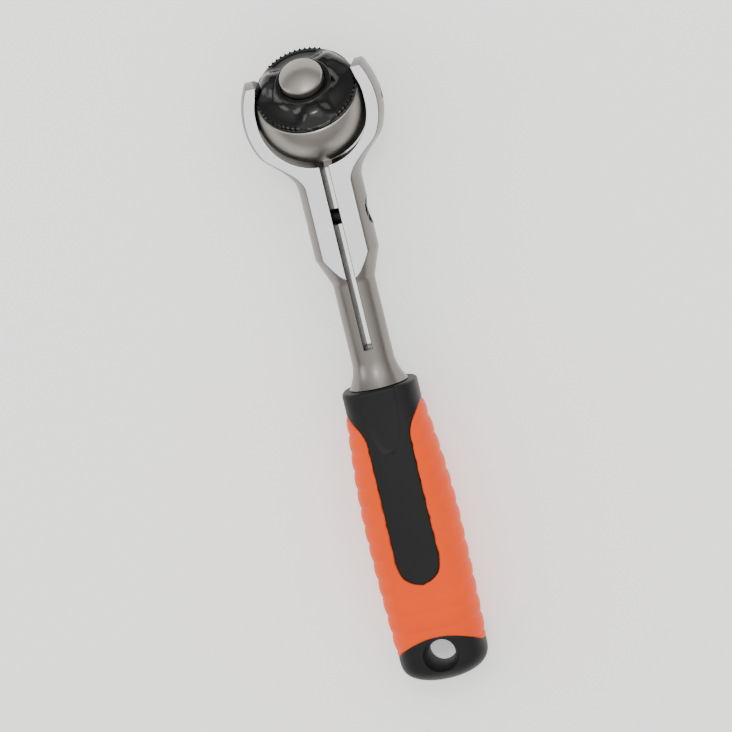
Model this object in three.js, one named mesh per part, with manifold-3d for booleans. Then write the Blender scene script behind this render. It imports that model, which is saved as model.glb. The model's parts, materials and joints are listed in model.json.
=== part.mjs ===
// A flex head ratchet: a ball head with a reversing dial, swinging in a split yoke on a two-colour grip.
// Lengths are millimetres and angles are radians. The handle frame has its origin at the flex pivot,
// with +Y to the tip, the handle along -Y and +Z out of the yoke's upper flat. The head frame shares
// that origin and has +Z along the dial. At rest the tool lies on its drive square and its grip.
import * as THREE from 'three';
import { mergeVertices } from 'three/addons/utils/BufferGeometryUtils.js';
import Module from 'manifold-3d';

const wasm = await Module();
wasm.setup();

const degrees = (angle) => THREE.MathUtils.degToRad(angle);

// Clearances
const seatGap = 0.3;
const runGap = 0.2;
const swingGap = 0.3;

// Ratchet wheel and drive square
const gearTeeth = 36;
const gearTipRadius = 8.0;
const toothDepth = 0.9;
const toothGap = 0.4;
const gearThickness = 6.0;
const gearTop = 0.0;
const squareSide = 9.525;
const squareLength = 10.7;
const squareEdgeChamfer = 0.8;
const squareTipChamfer = 0.7;
const squareFloor = 1.0;
const journalRadius = 6.6;
const topJournalRadius = 5.0;
const sealSection = 0.42;
const sealHeight = 2.6;

// Quick release: button, plunger and detent ball
const plungerRadius = 1.9;
const plungerNeckRadius = 1.1;
const plungerNeckHalf = 1.3;
const plungerRamp = 0.8;
const buttonRadius = 6.8;
const buttonTravel = 2.5;
const buttonBody = 2.6;
const buttonDome = 2.2;
const buttonSocketDepth = 1.4;
const detentBallRadius = 1.6;
const detentProud = 0.6;
const detentFromTip = 5.4;
const releaseWire = 0.7;
const releaseTurns = 3;

// Pawls
const pawlBossRadius = 1.5;
const pawlPinRadius = 0.9;
const pawlPinDepth = 2.0;
const pawlBack = 1.4;
const pawlFront = 0.9;
const pawlPivotAngle = degrees(110);
const pawlNoseAngle = degrees(45);
const pawlNoseSpan = degrees(25);
const pawlTailAngle = degrees(131);
const pawlLift = degrees(9);
const pawlSpringAngle = degrees(63);
const pawlSpringRadius = 1.0;
const pawlSpringWire = 0.25;
const pawlSpringTurns = 2;
const pawlSpringSeat = 1.7;
const pocketStart = degrees(35);
const pocketEnd = degrees(141);

// Cover, selector and dial
const coverThickness = 2.0;
const coverScrewRadius = 1.0;
const coverScrewHeadRadius = 1.9;
const coverScrewHeadHeight = 1.1;
const coverScrewDepth = 4.0;
const coverScrewAngle = degrees(20);
const selectorThickness = 1.3;
const selectorHubRadius = 8.2;
const selectorHubTop = 8.0;
const hubFloor = 2.6;
const lugRadius = 0.5;
const lugPush = degrees(15);
const lugHold = degrees(25);
const ringThickness = 0.8;
const ringBite = 0.6;
const ringWidth = 2.0;
const ringOpening = degrees(50);
const dialTeeth = 60;
const dialToothDepth = 0.5;
const knurlRelief = 0.05;
const dialStep = 0.3;
const dialSleeveWall = 2.2;
const dialRimHeight = 1.3;
const dialRimChamfer = 0.8;
const dialFloorDrop = 0.2;
const dialFloorInset = 1.6;
const dialBossWall = 1.8;
const dialBossTop = 12.5;
const dialSpokes = 3;
const dialSpokeHalfWidth = 3.2;
const dialSpokeTurn = degrees(-80);

// Ball housing
const ballTop = 7.0;
const ballBottom = -15.2;
const mouthWall = 2.95;
const flexAngle = degrees(45);

// Flex pivot
const pivotPinRadius = 2.5;
const pivotPinReach = 3.6;
const pivotPinRecess = 0.3;
const washerRadius = 4.9;
const washerThickness = 0.6;
const washerSink = 1.4;

// Yoke, clamp block and shank
const armThickness = 3.7;
const yokeSetback = 1.7;
const yokeThickness = 14.2;
const armTip = 11.2;
const armTipThickness = 2.4;
const armReach = 24.0;
const tipRounding = 1.7;
const tipOvershoot = degrees(6);
const hugAngle = degrees(19);
const shoulderAngle = degrees(62);
const neckRun = 1.0;
const neckEase = 0.21;
const blockRadius = 10.0;
const blockLength = 22.2;
const coneLength = 8.6;
const shankRadius = 6.6;
const shankLength = 24.8;
const flareRadius = 9.2;
const flareLength = 8.2;
const slitWidth = 2.6;
const slitPastCone = 21.3;
const tangRadius = 5.5;
const tangLength = 71.5;
const tangFlat = 4.2;

// Clamp screw
const screwRadius = 2.5;
const screwHeadRadius = 4.25;
const screwHeadHeight = 4.7;
const screwHeadSunk = 1.1;
const screwEndSunk = 1.2;
const screwFromNeck = 10.5;
const hexAcrossFlats = 4.0;
const hexDepth = 2.6;

// Grip
const gripLength = 94.3;
const collarHalfWidth = 11.8;
const collarHalfThickness = 10.8;
const collarRun = 6.0;
const palmHalfWidth = 14.6;
const palmHalfThickness = 12.0;
const palmAt = 46.0;
const heelHalfWidth = 13.8;
const heelHalfThickness = 9.4;
const heelRun = 8.8;
const heelBlunt = 0.25;
const wedgeRun = 24.0;
const mouthRounding = 1.0;
const gripSquareness = 2.7;
const sleeveThickness = 2.5;
const sleeveTipRun = 7.0;
const sleeveTipLean = 1.44;
const windowHalfWidth = 7.0;
const windowWaist = 0.3;
const windowEnd = 62.2;
const archTop = 79.0;
const archRadius = 21.2;
const ribPitch = 5.8;
const ribDepth = 0.55;
const plainStep = 8.7;
const heelSteps = [0.35, 0.6, 0.78, 0.9, 0.97];
const lipSteps = [0, 0.25, 0.6];
const eyeFromEnd = 8.8;
const eyeRadius = 4.2;
const eyeMouthRadius = 5.6;
const eyeFlare = 5.0;

// Rest pose
const tiltLimit = degrees(20);
const tiltHalvings = 40;

// Facets of round forms
const fineSides = 32;
const plainSides = 16;
const smallSides = 8;
const wireSegments = 3;
const fineArc = 14;
const plainArc = 8;
const smallArc = 4;

// Heights in the head frame
const cavityFloor = gearTop - gearThickness - seatGap;
const coverBottom = gearTop + seatGap;
const coverTop = coverBottom + coverThickness;
const selectorBottom = coverTop + seatGap;
const selectorTop = selectorBottom + selectorThickness;
const ringBottom = selectorTop + seatGap;
const ringTop = ringBottom + ringThickness;
const dialBottom = ballTop + seatGap;
const dialRimTop = dialBottom + dialRimHeight;
const dialShoulder = selectorHubTop + seatGap;
const buttonEdge = dialBossTop + buttonBody;
const buttonTop = buttonEdge + buttonDome;
const buttonBottom = dialShoulder + buttonTravel + seatGap;
const squareTop = ballBottom - seatGap;
const squareTip = squareTop - squareLength;
const detentHeight = squareTip + detentFromTip;
const plungerTip = squareTip + squareFloor + buttonTravel + seatGap;

// Radii in the head frame
const gearRootRadius = gearTipRadius - toothDepth;
const cavityRadius = gearTipRadius + toothGap;
const pawlPivotRadius = gearTipRadius + toothGap + pawlBossRadius;
const lugCircle = pawlPivotRadius + pawlBossRadius + seatGap + lugRadius;
const pocketRadius = lugCircle + lugRadius + seatGap;
const plateRadius = pocketRadius - runGap;
const mouthRadius = pocketRadius + mouthWall;
const ballRadius = Math.hypot(ballTop, mouthRadius);
const dialRimRadius = mouthRadius - dialStep;
const plungerBore = plungerRadius + 2 * runGap;

// The yoke follows the head's swing envelope
const rimReach = Math.hypot(dialRimRadius, dialRimTop);
const buttonReach = Math.max(buttonTop, Math.hypot(buttonRadius, buttonEdge));
const socketRadius = Math.max(ballRadius, rimReach, buttonReach) + swingGap;
const yokeRadius = socketRadius + armThickness;
const flatHeight = yokeThickness / 2;
const neckStart = yokeSetback + yokeRadius + neckRun;
const blockEnd = neckStart + blockLength;
const coneEnd = blockEnd + coneLength;
const shankEnd = coneEnd + shankLength;
const flareEnd = shankEnd + flareLength;
const slitEnd = coneEnd + slitPastCone;
const gripMouth = flareEnd + seatGap;
const tangEnd = gripMouth + tangLength;
const screwAt = neckStart + screwFromNeck;
const headOuter = blockRadius - screwHeadSunk;
const headSeat = headOuter - screwHeadHeight;
const screwEnd = -blockRadius + screwEndSunk;
const washerSeat = ballRadius - washerSink;
const washerDish = socketRadius - 2 * seatGap - washerThickness - washerSeat;

// Finishes
function finish(color, roughness, metalness) {
  return new THREE.MeshStandardMaterial({ color, roughness, metalness });
}

const chrome = finish(0xdfe3e4, 0.25, 1.0);
const satinSteel = finish(0xa9a7a3, 0.4, 1.0);
const darkSteel = finish(0x4a4b4d, 0.45, 1.0);
const springSteel = finish(0x77797c, 0.35, 1.0);
const blackOxide = finish(0x1c1d1f, 0.5, 0.6);
const glossBlack = finish(0x17181a, 0.25, 0.0);
const mattBlack = finish(0x26292a, 0.6, 0.0);
const orangeRubber = finish(0xee6b2f, 0.65, 0.0);
const sealRubber = finish(0x111111, 0.7, 0.0);

// Turns a closed geometry into a solid, whichever way its faces were wound.
function solid(geometry) {
  const bare = new THREE.BufferGeometry();
  bare.setAttribute('position', geometry.getAttribute('position'));
  bare.setIndex(geometry.index);
  const merged = mergeVertices(bare, 1e-4);
  const points = merged.getAttribute('position').array;
  const triangles = [];
  let volume = 0;
  const corners = [new THREE.Vector3(), new THREE.Vector3(), new THREE.Vector3()];
  for (let i = 0; i < merged.index.count; i += 3) {
    const [a, b, c] = [0, 1, 2].map((k) => merged.index.getX(i + k));
    if (a === b || b === c || c === a) continue;
    triangles.push(a, b, c);
    [a, b, c].forEach((index, k) => corners[k].fromArray(points, 3 * index));
    volume += corners[0].dot(corners[1].cross(corners[2]));
  }
  const triVerts = new Uint32Array(volume > 0 ? triangles : triangles.reverse());
  return new wasm.Manifold(new wasm.Mesh({ numProp: 3, vertProperties: new Float32Array(points), triVerts }));
}

// Adds a named mesh of a solid to a group.
function place(group, name, shape, material) {
  const { vertProperties, triVerts } = shape.getMesh();
  const geometry = new THREE.BufferGeometry();
  geometry.setAttribute('position', new THREE.BufferAttribute(vertProperties, 3));
  geometry.setIndex(new THREE.BufferAttribute(triVerts, 1));
  geometry.computeVertexNormals();
  const mesh = new THREE.Mesh(geometry, material);
  mesh.name = name;
  group.add(mesh);
  return mesh;
}

// Turns a profile of [radius, height] points about the Z axis.
function turned(profile, sides = plainSides) {
  const points = profile.map(([radius, height]) => new THREE.Vector2(radius, height));
  return solid(new THREE.LatheGeometry(points, sides).rotateX(Math.PI / 2));
}

// A ring profile between two radii and two heights, closed on itself.
function ringProfile(inner, outer, bottom, top) {
  return [[inner, bottom], [outer, bottom], [outer, top], [inner, top], [inner, bottom]];
}

function rod(radius, bottom, top, sides = plainSides) {
  return turned([[0, bottom], [radius, bottom], [radius, top], [0, top]], sides);
}

// A round bar along X between two stations.
function crossBar(radius, from, to, sides = plainSides) {
  const bar = new THREE.CylinderGeometry(radius, radius, to - from, sides);
  return solid(bar.rotateZ(Math.PI / 2).translate((from + to) / 2, 0, 0));
}

function box(from, to) {
  const size = to.map((value, i) => value - from[i]);
  const middle = to.map((value, i) => (value + from[i]) / 2);
  return solid(new THREE.BoxGeometry(...size).translate(...middle));
}

// An upright prism of an outline, from one height to another.
function prism(outline, bottom, top, curveSegments = smallSides) {
  const settings = { depth: top - bottom, bevelEnabled: false, curveSegments };
  return solid(new THREE.ExtrudeGeometry(outline, settings).translate(0, 0, bottom));
}

const polar = (radius, angle) => new THREE.Vector2(radius * Math.cos(angle), radius * Math.sin(angle));

// A sector of a flat ring, as an outline.
function sector(inner, outer, from, to) {
  const outline = new THREE.Shape();
  outline.absarc(0, 0, outer, from, to, false);
  outline.absarc(0, 0, inner, to, from, true);
  return outline;
}

// A wheel outline of pointed teeth, with a gap at the first angle.
function toothed(teeth, root, tip) {
  const corners = [];
  for (let i = 0; i < teeth; i += 1) {
    const start = (2 * Math.PI * i) / teeth;
    corners.push(polar(root, start), polar(tip, start + Math.PI / teeth));
  }
  return new THREE.Shape(corners);
}

class Helix extends THREE.Curve {
  constructor(radius, bottom, top, turns) {
    super();
    Object.assign(this, { radius, bottom, top, turns });
  }

  getPoint(t, target = new THREE.Vector3()) {
    const angle = 2 * Math.PI * this.turns * t;
    const height = this.bottom + (this.top - this.bottom) * t;
    return target.set(this.radius * Math.cos(angle), this.radius * Math.sin(angle), height);
  }
}

// A coil spring about the Z axis, outer radius and ends given over the wire.
function coil(outer, wire, bottom, top, turns) {
  const section = new THREE.Shape();
  section.absarc(0, 0, wire / 2, 0, 2 * Math.PI);
  const path = new Helix(outer - wire / 2, bottom + wire / 2, top - wire / 2, turns);
  const steps = smallSides * turns;
  const settings = { steps, extrudePath: path, bevelEnabled: false, curveSegments: wireSegments };
  return solid(new THREE.ExtrudeGeometry(section, settings));
}

// Turns a solid about an upright axis through a point.
function swung(shape, point, angle) {
  const about = shape.translate([-point.x, -point.y, 0]);
  return about.rotate([0, 0, THREE.MathUtils.radToDeg(angle)]).translate([point.x, point.y, 0]);
}

// Points of a circular arc of [radius, height] pairs about a centre on the axis.
function arcProfile(radius, centre, from, to, steps) {
  return Array.from({ length: steps + 1 }, (_, i) => {
    const angle = from + ((to - from) * i) / steps;
    return [radius * Math.sin(angle), centre + radius * Math.cos(angle)];
  });
}

// The ball housing: a sphere bored from the dial's side, with two pawl pockets and the pivot bores.
function ballHousing() {
  const bottomAngle = Math.acos(ballBottom / ballRadius);
  const topAngle = Math.acos(ballTop / ballRadius);
  const bore = journalRadius + runGap;
  const profile = [
    [bore, ballBottom],
    ...arcProfile(ballRadius, 0, bottomAngle, topAngle, fineArc),
    [pocketRadius, ballTop],
    [pocketRadius, ringTop + seatGap],
    [pocketRadius + ringBite, ringTop + seatGap],
    [pocketRadius + ringBite, selectorTop],
    [pocketRadius, selectorTop],
    [pocketRadius, gearTop],
    [cavityRadius, gearTop],
    [cavityRadius, cavityFloor],
    [bore, cavityFloor],
    [bore, ballBottom],
  ];
  let shape = turned(profile, fineSides);
  const pocketPlan = sector(gearTipRadius, pocketRadius, pocketStart, pocketEnd);
  const pocket = prism(pocketPlan, cavityFloor, coverBottom);
  shape = shape.subtract(pocket).subtract(pocket.mirror([0, 1, 0]));
  const pinHole = rod(pawlPinRadius + runGap, cavityFloor - pawlPinDepth, gearTop, smallSides);
  const seatEnd = pocketRadius + pawlSpringSeat;
  const springSeat = crossBar(pawlSpringRadius + seatGap, cavityRadius, seatEnd, smallSides);
  for (const side of [1, -1]) {
    const pivot = polar(pawlPivotRadius, side * pawlPivotAngle);
    shape = shape.subtract(pinHole.translate([pivot.x, pivot.y, 0]));
    const seat = springSeat.translate([0, 0, gearTop - gearThickness / 2]);
    shape = shape.subtract(swung(seat, new THREE.Vector2(), side * pawlSpringAngle));
    const bearing = crossBar(pivotPinRadius + runGap, ballRadius - pivotPinReach - seatGap, ballRadius);
    const recess = crossBar(washerRadius + seatGap, washerSeat - seatGap, ballRadius);
    const pair = bearing.add(recess);
    shape = shape.subtract(side > 0 ? pair : pair.mirror([1, 0, 0]));
    const threadEnd = gearTop - coverScrewDepth - seatGap;
    const thread = rod(coverScrewRadius + runGap, threadEnd, coverBottom, smallSides);
    const spot = coverScrewSpot(side);
    shape = shape.subtract(thread.translate([spot.x, spot.y, 0]));
  }
  return shape;
}

// The two cover screws stand diagonally opposite, clear of the pivot pins.
function coverScrewSpot(side) {
  const circle = (cavityRadius + pocketRadius) / 2;
  return polar(circle, coverScrewAngle + (side > 0 ? 0 : Math.PI));
}

function coverScrew() {
  const headTop = coverTop - runGap;
  const shank = coverScrewRadius;
  return turned([
    [0, gearTop - coverScrewDepth],
    [shank, gearTop - coverScrewDepth],
    [shank, headTop - coverScrewHeadHeight],
    [coverScrewHeadRadius, headTop - coverScrewHeadHeight],
    [coverScrewHeadRadius, headTop],
    [0, headTop],
  ], smallSides);
}

// The cover over wheel and pawls, notched at its rim for the selector's lugs.
function coverPlate() {
  let shape = turned(ringProfile(topJournalRadius + runGap, plateRadius, coverBottom, coverTop), fineSides);
  const slack = (lugRadius + seatGap) / lugCircle;
  const from = pawlPivotAngle - lugHold - slack;
  const to = pawlPivotAngle + lugPush + slack;
  const notchInner = lugCircle - lugRadius - seatGap;
  const notch = prism(sector(notchInner, pocketRadius + seatGap, from, to), cavityFloor, selectorBottom);
  shape = shape.subtract(notch).subtract(notch.mirror([0, 1, 0]));
  const sink = coverTop - runGap - coverScrewHeadHeight - seatGap;
  const hole = turned([
    [0, cavityFloor],
    [coverScrewRadius + runGap, cavityFloor],
    [coverScrewRadius + runGap, sink],
    [coverScrewHeadRadius + runGap, sink],
    [coverScrewHeadRadius + runGap, selectorBottom],
    [0, selectorBottom],
  ], smallSides);
  for (const side of [1, -1]) {
    const spot = coverScrewSpot(side);
    shape = shape.subtract(hole.translate([spot.x, spot.y, 0]));
  }
  return shape;
}

// The steel selector under the dial, with a lug for each pawl and a well for the release spring.
function selectorDisc() {
  const hole = plungerBore;
  const well = buttonRadius - dialBossWall;
  const floor = selectorBottom + hubFloor;
  let shape = turned([
    [hole, selectorBottom],
    [plateRadius, selectorBottom],
    [plateRadius, selectorTop],
    [selectorHubRadius, selectorTop],
    [selectorHubRadius, selectorHubTop],
    [well, selectorHubTop],
    [well, floor],
    [hole, floor],
    [hole, selectorBottom],
  ], fineSides);
  const lug = rod(lugRadius, cavityFloor + seatGap, selectorTop, smallSides);
  for (const angle of [pawlPivotAngle - lugHold, -pawlPivotAngle - lugPush]) {
    const spot = polar(lugCircle, angle);
    shape = shape.add(lug.translate([spot.x, spot.y, 0]));
  }
  return shape;
}

// The open retaining ring that keeps the selector down.
function selectorRing() {
  const outer = pocketRadius + ringBite - runGap;
  const half = ringOpening / 2;
  const outline = sector(outer - ringWidth, outer, half, 2 * Math.PI - half);
  return prism(outline, ringBottom, ringTop, plainSides);
}

// The black dial: a knurled rim and a boss round the button, joined by three raised spokes.
function reversingDial() {
  const floor = dialRimTop + dialRimChamfer - dialFloorDrop;
  const bossRadius = buttonRadius + runGap + dialBossWall;
  const sleeveInner = selectorHubRadius + runGap;
  const wallTop = Math.sqrt((socketRadius - swingGap) ** 2 - dialBossTop ** 2);
  const dome = turned([
    [sleeveInner, ringTop + seatGap],
    [sleeveInner + dialSleeveWall, ringTop + seatGap],
    [sleeveInner + dialSleeveWall, dialBottom],
    [dialRimRadius, dialBottom],
    [dialRimRadius, dialRimTop],
    [dialRimRadius - dialRimChamfer, dialRimTop + dialRimChamfer],
    [Math.min(wallTop, dialRimRadius - 2 * dialRimChamfer), dialBossTop - dialRimChamfer],
    [bossRadius, dialBossTop],
    [buttonRadius + runGap, dialBossTop],
    [buttonRadius + runGap, dialShoulder],
    [sleeveInner, dialShoulder],
    [sleeveInner, ringTop + seatGap],
  ], fineSides);
  const spoke = box([0, -dialSpokeHalfWidth, floor - seatGap], [ballRadius, dialSpokeHalfWidth, buttonTop]);
  let pockets = turned(ringProfile(bossRadius, dialRimRadius - dialFloorInset, floor, buttonTop), fineSides);
  let knurl = prism(ringWithTeeth(), dialBottom - seatGap, dialRimTop + dialRimChamfer);
  for (let i = 0; i < dialSpokes; i += 1) {
    const angle = dialSpokeTurn + (2 * Math.PI * i) / dialSpokes;
    const bar = swung(spoke, new THREE.Vector2(), angle);
    const guard = swung(spoke.translate([0, 0, dialBottom - floor]), new THREE.Vector2(), angle);
    pockets = pockets.subtract(bar);
    knurl = knurl.subtract(guard);
  }
  return dome.subtract(pockets).subtract(knurl);
}

// What the knurl takes off the rim: a ring whose inner edge is toothed.
function ringWithTeeth() {
  const outline = new THREE.Shape();
  outline.absarc(0, 0, dialRimRadius + dialToothDepth, 0, 2 * Math.PI);
  const teeth = toothed(dialTeeth, dialRimRadius - dialToothDepth, dialRimRadius + knurlRelief);
  outline.holes.push(new THREE.Path(teeth.getPoints()));
  return outline;
}

// Wheel, journals and drive square in one piece, bored for the plunger and the detent ball.
function driveSpindle() {
  const half = squareSide / 2;
  const edge = half - squareEdgeChamfer;
  const corners = [[half, -edge], [half, edge], [edge, half], [-edge, half], [-half, edge], [-half, -edge],
    [-edge, -half], [edge, -half]];
  const outline = new THREE.Shape(corners.map(([x, y]) => new THREE.Vector2(x, y)));
  const tipReach = half - squareTipChamfer + squareLength + seatGap;
  const tipPyramid = turned([
    [0, squareTip],
    [Math.SQRT2 * (half - squareTipChamfer), squareTip],
    [Math.SQRT2 * tipReach, squareTop + seatGap],
    [0, squareTop + seatGap],
  ], 4).rotate([0, 0, 45]);
  const square = prism(outline, squareTip, squareTop + seatGap).intersect(tipPyramid);
  const groove = sealHeight + ballBottom;
  const grooveHalf = sealSection + seatGap;
  const grooveRadius = journalRadius - 2 * sealSection - seatGap;
  const spindle = turned([
    [0, squareTop],
    [journalRadius, squareTop],
    [journalRadius, groove - grooveHalf],
    [grooveRadius, groove - grooveHalf],
    [grooveRadius, groove + grooveHalf],
    [journalRadius, groove + grooveHalf],
    [journalRadius, cavityFloor + seatGap],
    [gearRootRadius, cavityFloor + seatGap],
    [gearRootRadius, gearTop],
    [topJournalRadius, gearTop],
    [topJournalRadius, coverTop],
    [0, coverTop],
  ], fineSides);
  const wheel = prism(toothed(gearTeeth, gearRootRadius, gearTipRadius), gearTop - gearThickness, gearTop);
  const bore = rod(plungerBore, squareTip + squareFloor, coverTop + seatGap);
  const pocket = crossBar(detentBallRadius + runGap, 0, squareSide, smallSides);
  const ballWay = swung(pocket, new THREE.Vector2(), Math.PI / 2).translate([0, 0, detentHeight]);
  return square.add(spindle).add(wheel).subtract(bore).subtract(ballWay);
}

function driveSeal() {
  const middle = journalRadius - sealSection;
  const height = sealHeight + ballBottom;
  const ring = new THREE.TorusGeometry(middle, sealSection, smallSides, plainSides);
  return solid(ring.translate(0, 0, height));
}

// The plunger under the button, necked where the detent ball drops in.
function releasePlunger() {
  const neck = detentHeight + buttonTravel;
  return turned([
    [0, plungerTip],
    [plungerRadius, plungerTip],
    [plungerRadius, neck - plungerNeckHalf - plungerRamp],
    [plungerNeckRadius, neck - plungerNeckHalf],
    [plungerNeckRadius, neck + plungerNeckHalf],
    [plungerRadius, neck + plungerNeckHalf + plungerRamp],
    [plungerRadius, buttonBottom + buttonSocketDepth - seatGap],
    [0, buttonBottom + buttonSocketDepth - seatGap],
  ]);
}

function releaseButton() {
  const domeRadius = (buttonRadius ** 2 + buttonDome ** 2) / (2 * buttonDome);
  const edgeAngle = Math.asin(buttonRadius / domeRadius);
  return turned([
    [0, buttonBottom + buttonSocketDepth],
    [plungerRadius + runGap, buttonBottom + buttonSocketDepth],
    [plungerRadius + runGap, buttonBottom],
    [buttonRadius, buttonBottom],
    ...arcProfile(domeRadius, buttonTop - domeRadius, edgeAngle, 0, plainArc),
  ], fineSides);
}

function detentBall() {
  const ball = new THREE.SphereGeometry(detentBallRadius, smallSides, smallSides / 2);
  return solid(ball.translate(0, squareSide / 2 + detentProud - detentBallRadius, detentHeight));
}

// One pawl in mesh with the wheel, cut free of it all the way through its lift.
function pawl() {
  const bottom = gearTop - gearThickness + seatGap;
  const top = gearTop - seatGap;
  const pivot = polar(pawlPivotRadius, pawlPivotAngle);
  const back = pawlPivotRadius + pawlBack;
  const front = pawlPivotRadius - pawlFront;
  const arm = prism(sector(front, back, pawlNoseAngle, pawlTailAngle), bottom, top);
  const nose = prism(sector(gearRootRadius, back, pawlNoseAngle, pawlNoseAngle + pawlNoseSpan), bottom, top);
  const boss = rod(pawlBossRadius, bottom, top, plainSides).translate([pivot.x, pivot.y, 0]);
  const bore = rod(pawlPinRadius + runGap, cavityFloor, coverTop, smallSides);
  const hole = bore.translate([pivot.x, pivot.y, 0]);
  const teeth = toothed(gearTeeth, gearRootRadius + toothGap, gearTipRadius + toothGap);
  const wheel = prism(teeth, cavityFloor, coverTop);
  let shape = arm.add(nose).add(boss).subtract(hole);
  const steps = 4;
  for (let i = 0; i <= steps; i += 1) {
    shape = shape.subtract(swung(wheel, pivot, (-pawlLift * i) / steps));
  }
  return shape;
}

function pawlPin(side) {
  const pivot = polar(pawlPivotRadius, side * pawlPivotAngle);
  const pin = rod(pawlPinRadius, cavityFloor - pawlPinDepth + seatGap, gearTop, smallSides);
  return pin.translate([pivot.x, pivot.y, 0]);
}

// A pawl spring between the pocket's seat and the pawl's back, shorter by the lift of a raised pawl.
function pawlSpring(side, raised) {
  const pivot = polar(pawlPivotRadius, pawlPivotAngle);
  const contact = polar(pawlPivotRadius + pawlBack, pawlSpringAngle);
  const lift = pawlLift * contact.distanceTo(pivot);
  const inner = pawlPivotRadius + pawlBack + seatGap + (raised ? lift : 0);
  const outer = pocketRadius + pawlSpringSeat - seatGap;
  const spring = coil(pawlSpringRadius, pawlSpringWire, inner, outer, pawlSpringTurns);
  const lying = spring.rotate([0, 90, 0]).translate([0, 0, gearTop - gearThickness / 2]);
  return swung(lying, new THREE.Vector2(), side * pawlSpringAngle);
}

// The yoke and shank: a turned bar with two milled flats, a bored socket, a slit and a tang.
function yokeShank() {
  const arms = arcProfile(yokeRadius, 0, Math.acos(-armTip / armReach) + tipOvershoot, Math.PI / 2, smallArc)
    .map(([radius, at]) => [radius, yokeSetback + (at * armReach) / yokeRadius]);
  const shoulder = arcProfile(yokeRadius, yokeSetback, Math.PI / 2, shoulderAngle, smallArc).slice(1);
  const [startRadius, startAt] = shoulder[shoulder.length - 1];
  const lean = neckEase * (neckStart - startAt);
  const blend = new THREE.CubicBezierCurve(
    new THREE.Vector2(startRadius, startAt),
    new THREE.Vector2(startRadius - lean / Math.tan(shoulderAngle), startAt + lean),
    new THREE.Vector2(blockRadius, neckStart - 2 * lean),
    new THREE.Vector2(blockRadius, neckStart),
  ).getPoints(plainArc).slice(1).map(({ x, y }) => [x, y]);
  const flare = new THREE.QuadraticBezierCurve(
    new THREE.Vector2(shankRadius, shankEnd),
    new THREE.Vector2(shankRadius, (shankEnd + flareEnd) / 2),
    new THREE.Vector2(flareRadius, flareEnd),
  ).getPoints(smallArc).map(({ x, y }) => [x, y]);
  const profile = [
    [0, arms[0][1]],
    ...arms,
    ...shoulder,
    ...blend,
    [blockRadius, blockEnd],
    [shankRadius, coneEnd],
    ...flare,
    [tangRadius, flareEnd],
    [tangRadius, tangEnd],
    [0, tangEnd],
  ];
  const bar = turned(profile, fineSides).rotate([90, 0, 0]);
  const tipRadius = yokeRadius * Math.sqrt(1 - ((armTip + yokeSetback) / armReach) ** 2);
  const socket = turned([
    ...arcProfile(socketRadius, yokeSetback, 0, Math.PI / 2, plainArc),
    ...arcProfile(socketRadius, 0, Math.PI / 2, Math.PI / 2 + hugAngle, smallArc),
    [tipRadius - armTipThickness, -armTip],
    [tipRadius - armTipThickness, -yokeRadius],
    [0, -yokeRadius],
  ], fineSides).rotate([90, 0, 0]);
  const slit = box([-slitWidth / 2, -slitEnd, -blockRadius], [slitWidth / 2, 0, blockRadius]);
  const width = 2 * yokeRadius;
  const flats = prism(flatsOutline(), -width, width).rotate([90, 0, 90]);
  let shape = bar.intersect(flats).subtract(socket).subtract(slit);
  const pivotHole = crossBar(pivotPinRadius + runGap, -width, width);
  const keySide = box([tangFlat, -2 * tangEnd, -tangRadius], [blockRadius, -gripMouth, tangRadius]);
  shape = shape.subtract(pivotHole).subtract(keySide).subtract(keySide.mirror([1, 0, 0]));
  return shape.subtract(clampHole().translate([0, -screwAt, 0]));
}

// The side view that the mill leaves: two flats with a rounded nose, and the full bar past the cone.
function flatsOutline() {
  const noseRadius = (flatHeight ** 2 + tipRounding ** 2) / (2 * tipRounding);
  const noseAngle = Math.asin(flatHeight / noseRadius);
  const full = flareRadius + blockRadius;
  const outline = new THREE.Shape();
  outline.moveTo(-tangEnd - blockRadius, -full);
  outline.lineTo(-shankEnd, -full);
  outline.lineTo(-shankEnd, -flatHeight);
  outline.absarc(armTip - noseRadius, 0, noseRadius, -noseAngle, noseAngle, false);
  outline.lineTo(-shankEnd, flatHeight);
  outline.lineTo(-shankEnd, full);
  outline.lineTo(-tangEnd - blockRadius, full);
  return outline;
}

// The hole across the block for the clamp screw, wider for its head.
function clampHole() {
  const hole = crossBar(screwRadius + runGap, -2 * blockRadius, 2 * blockRadius);
  return hole.add(crossBar(screwHeadRadius + runGap, headSeat - seatGap, 2 * blockRadius));
}

// The clamp screw, a socket head that draws the two halves of the block together.
function clampScrew() {
  const hex = crossBar(hexAcrossFlats / Math.sqrt(3), headOuter - hexDepth, headOuter + seatGap, 6);
  const shank = crossBar(screwRadius, screwEnd, headSeat + seatGap);
  return crossBar(screwHeadRadius, headSeat, headOuter).add(shank).subtract(hex);
}

function pivotPin() {
  const outer = Math.sqrt(yokeRadius ** 2 - yokeSetback ** 2) - pivotPinRecess;
  return crossBar(pivotPinRadius, ballRadius - pivotPinReach, outer);
}

// A dished friction washer between the arm and the ball's flat.
function frictionWasher() {
  const inner = pivotPinRadius + runGap;
  const dish = washerThickness + washerDish;
  const washer = turned([
    [inner, washerSeat + washerDish],
    [washerRadius, washerSeat],
    [washerRadius, washerSeat + washerThickness],
    [inner, washerSeat + dish],
    [inner, washerSeat + washerDish],
  ]);
  return washer.rotate([0, 90, 0]);
}

const ease = (t) => Math.sin((Math.PI / 2) * THREE.MathUtils.clamp(t, 0, 1));

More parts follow.
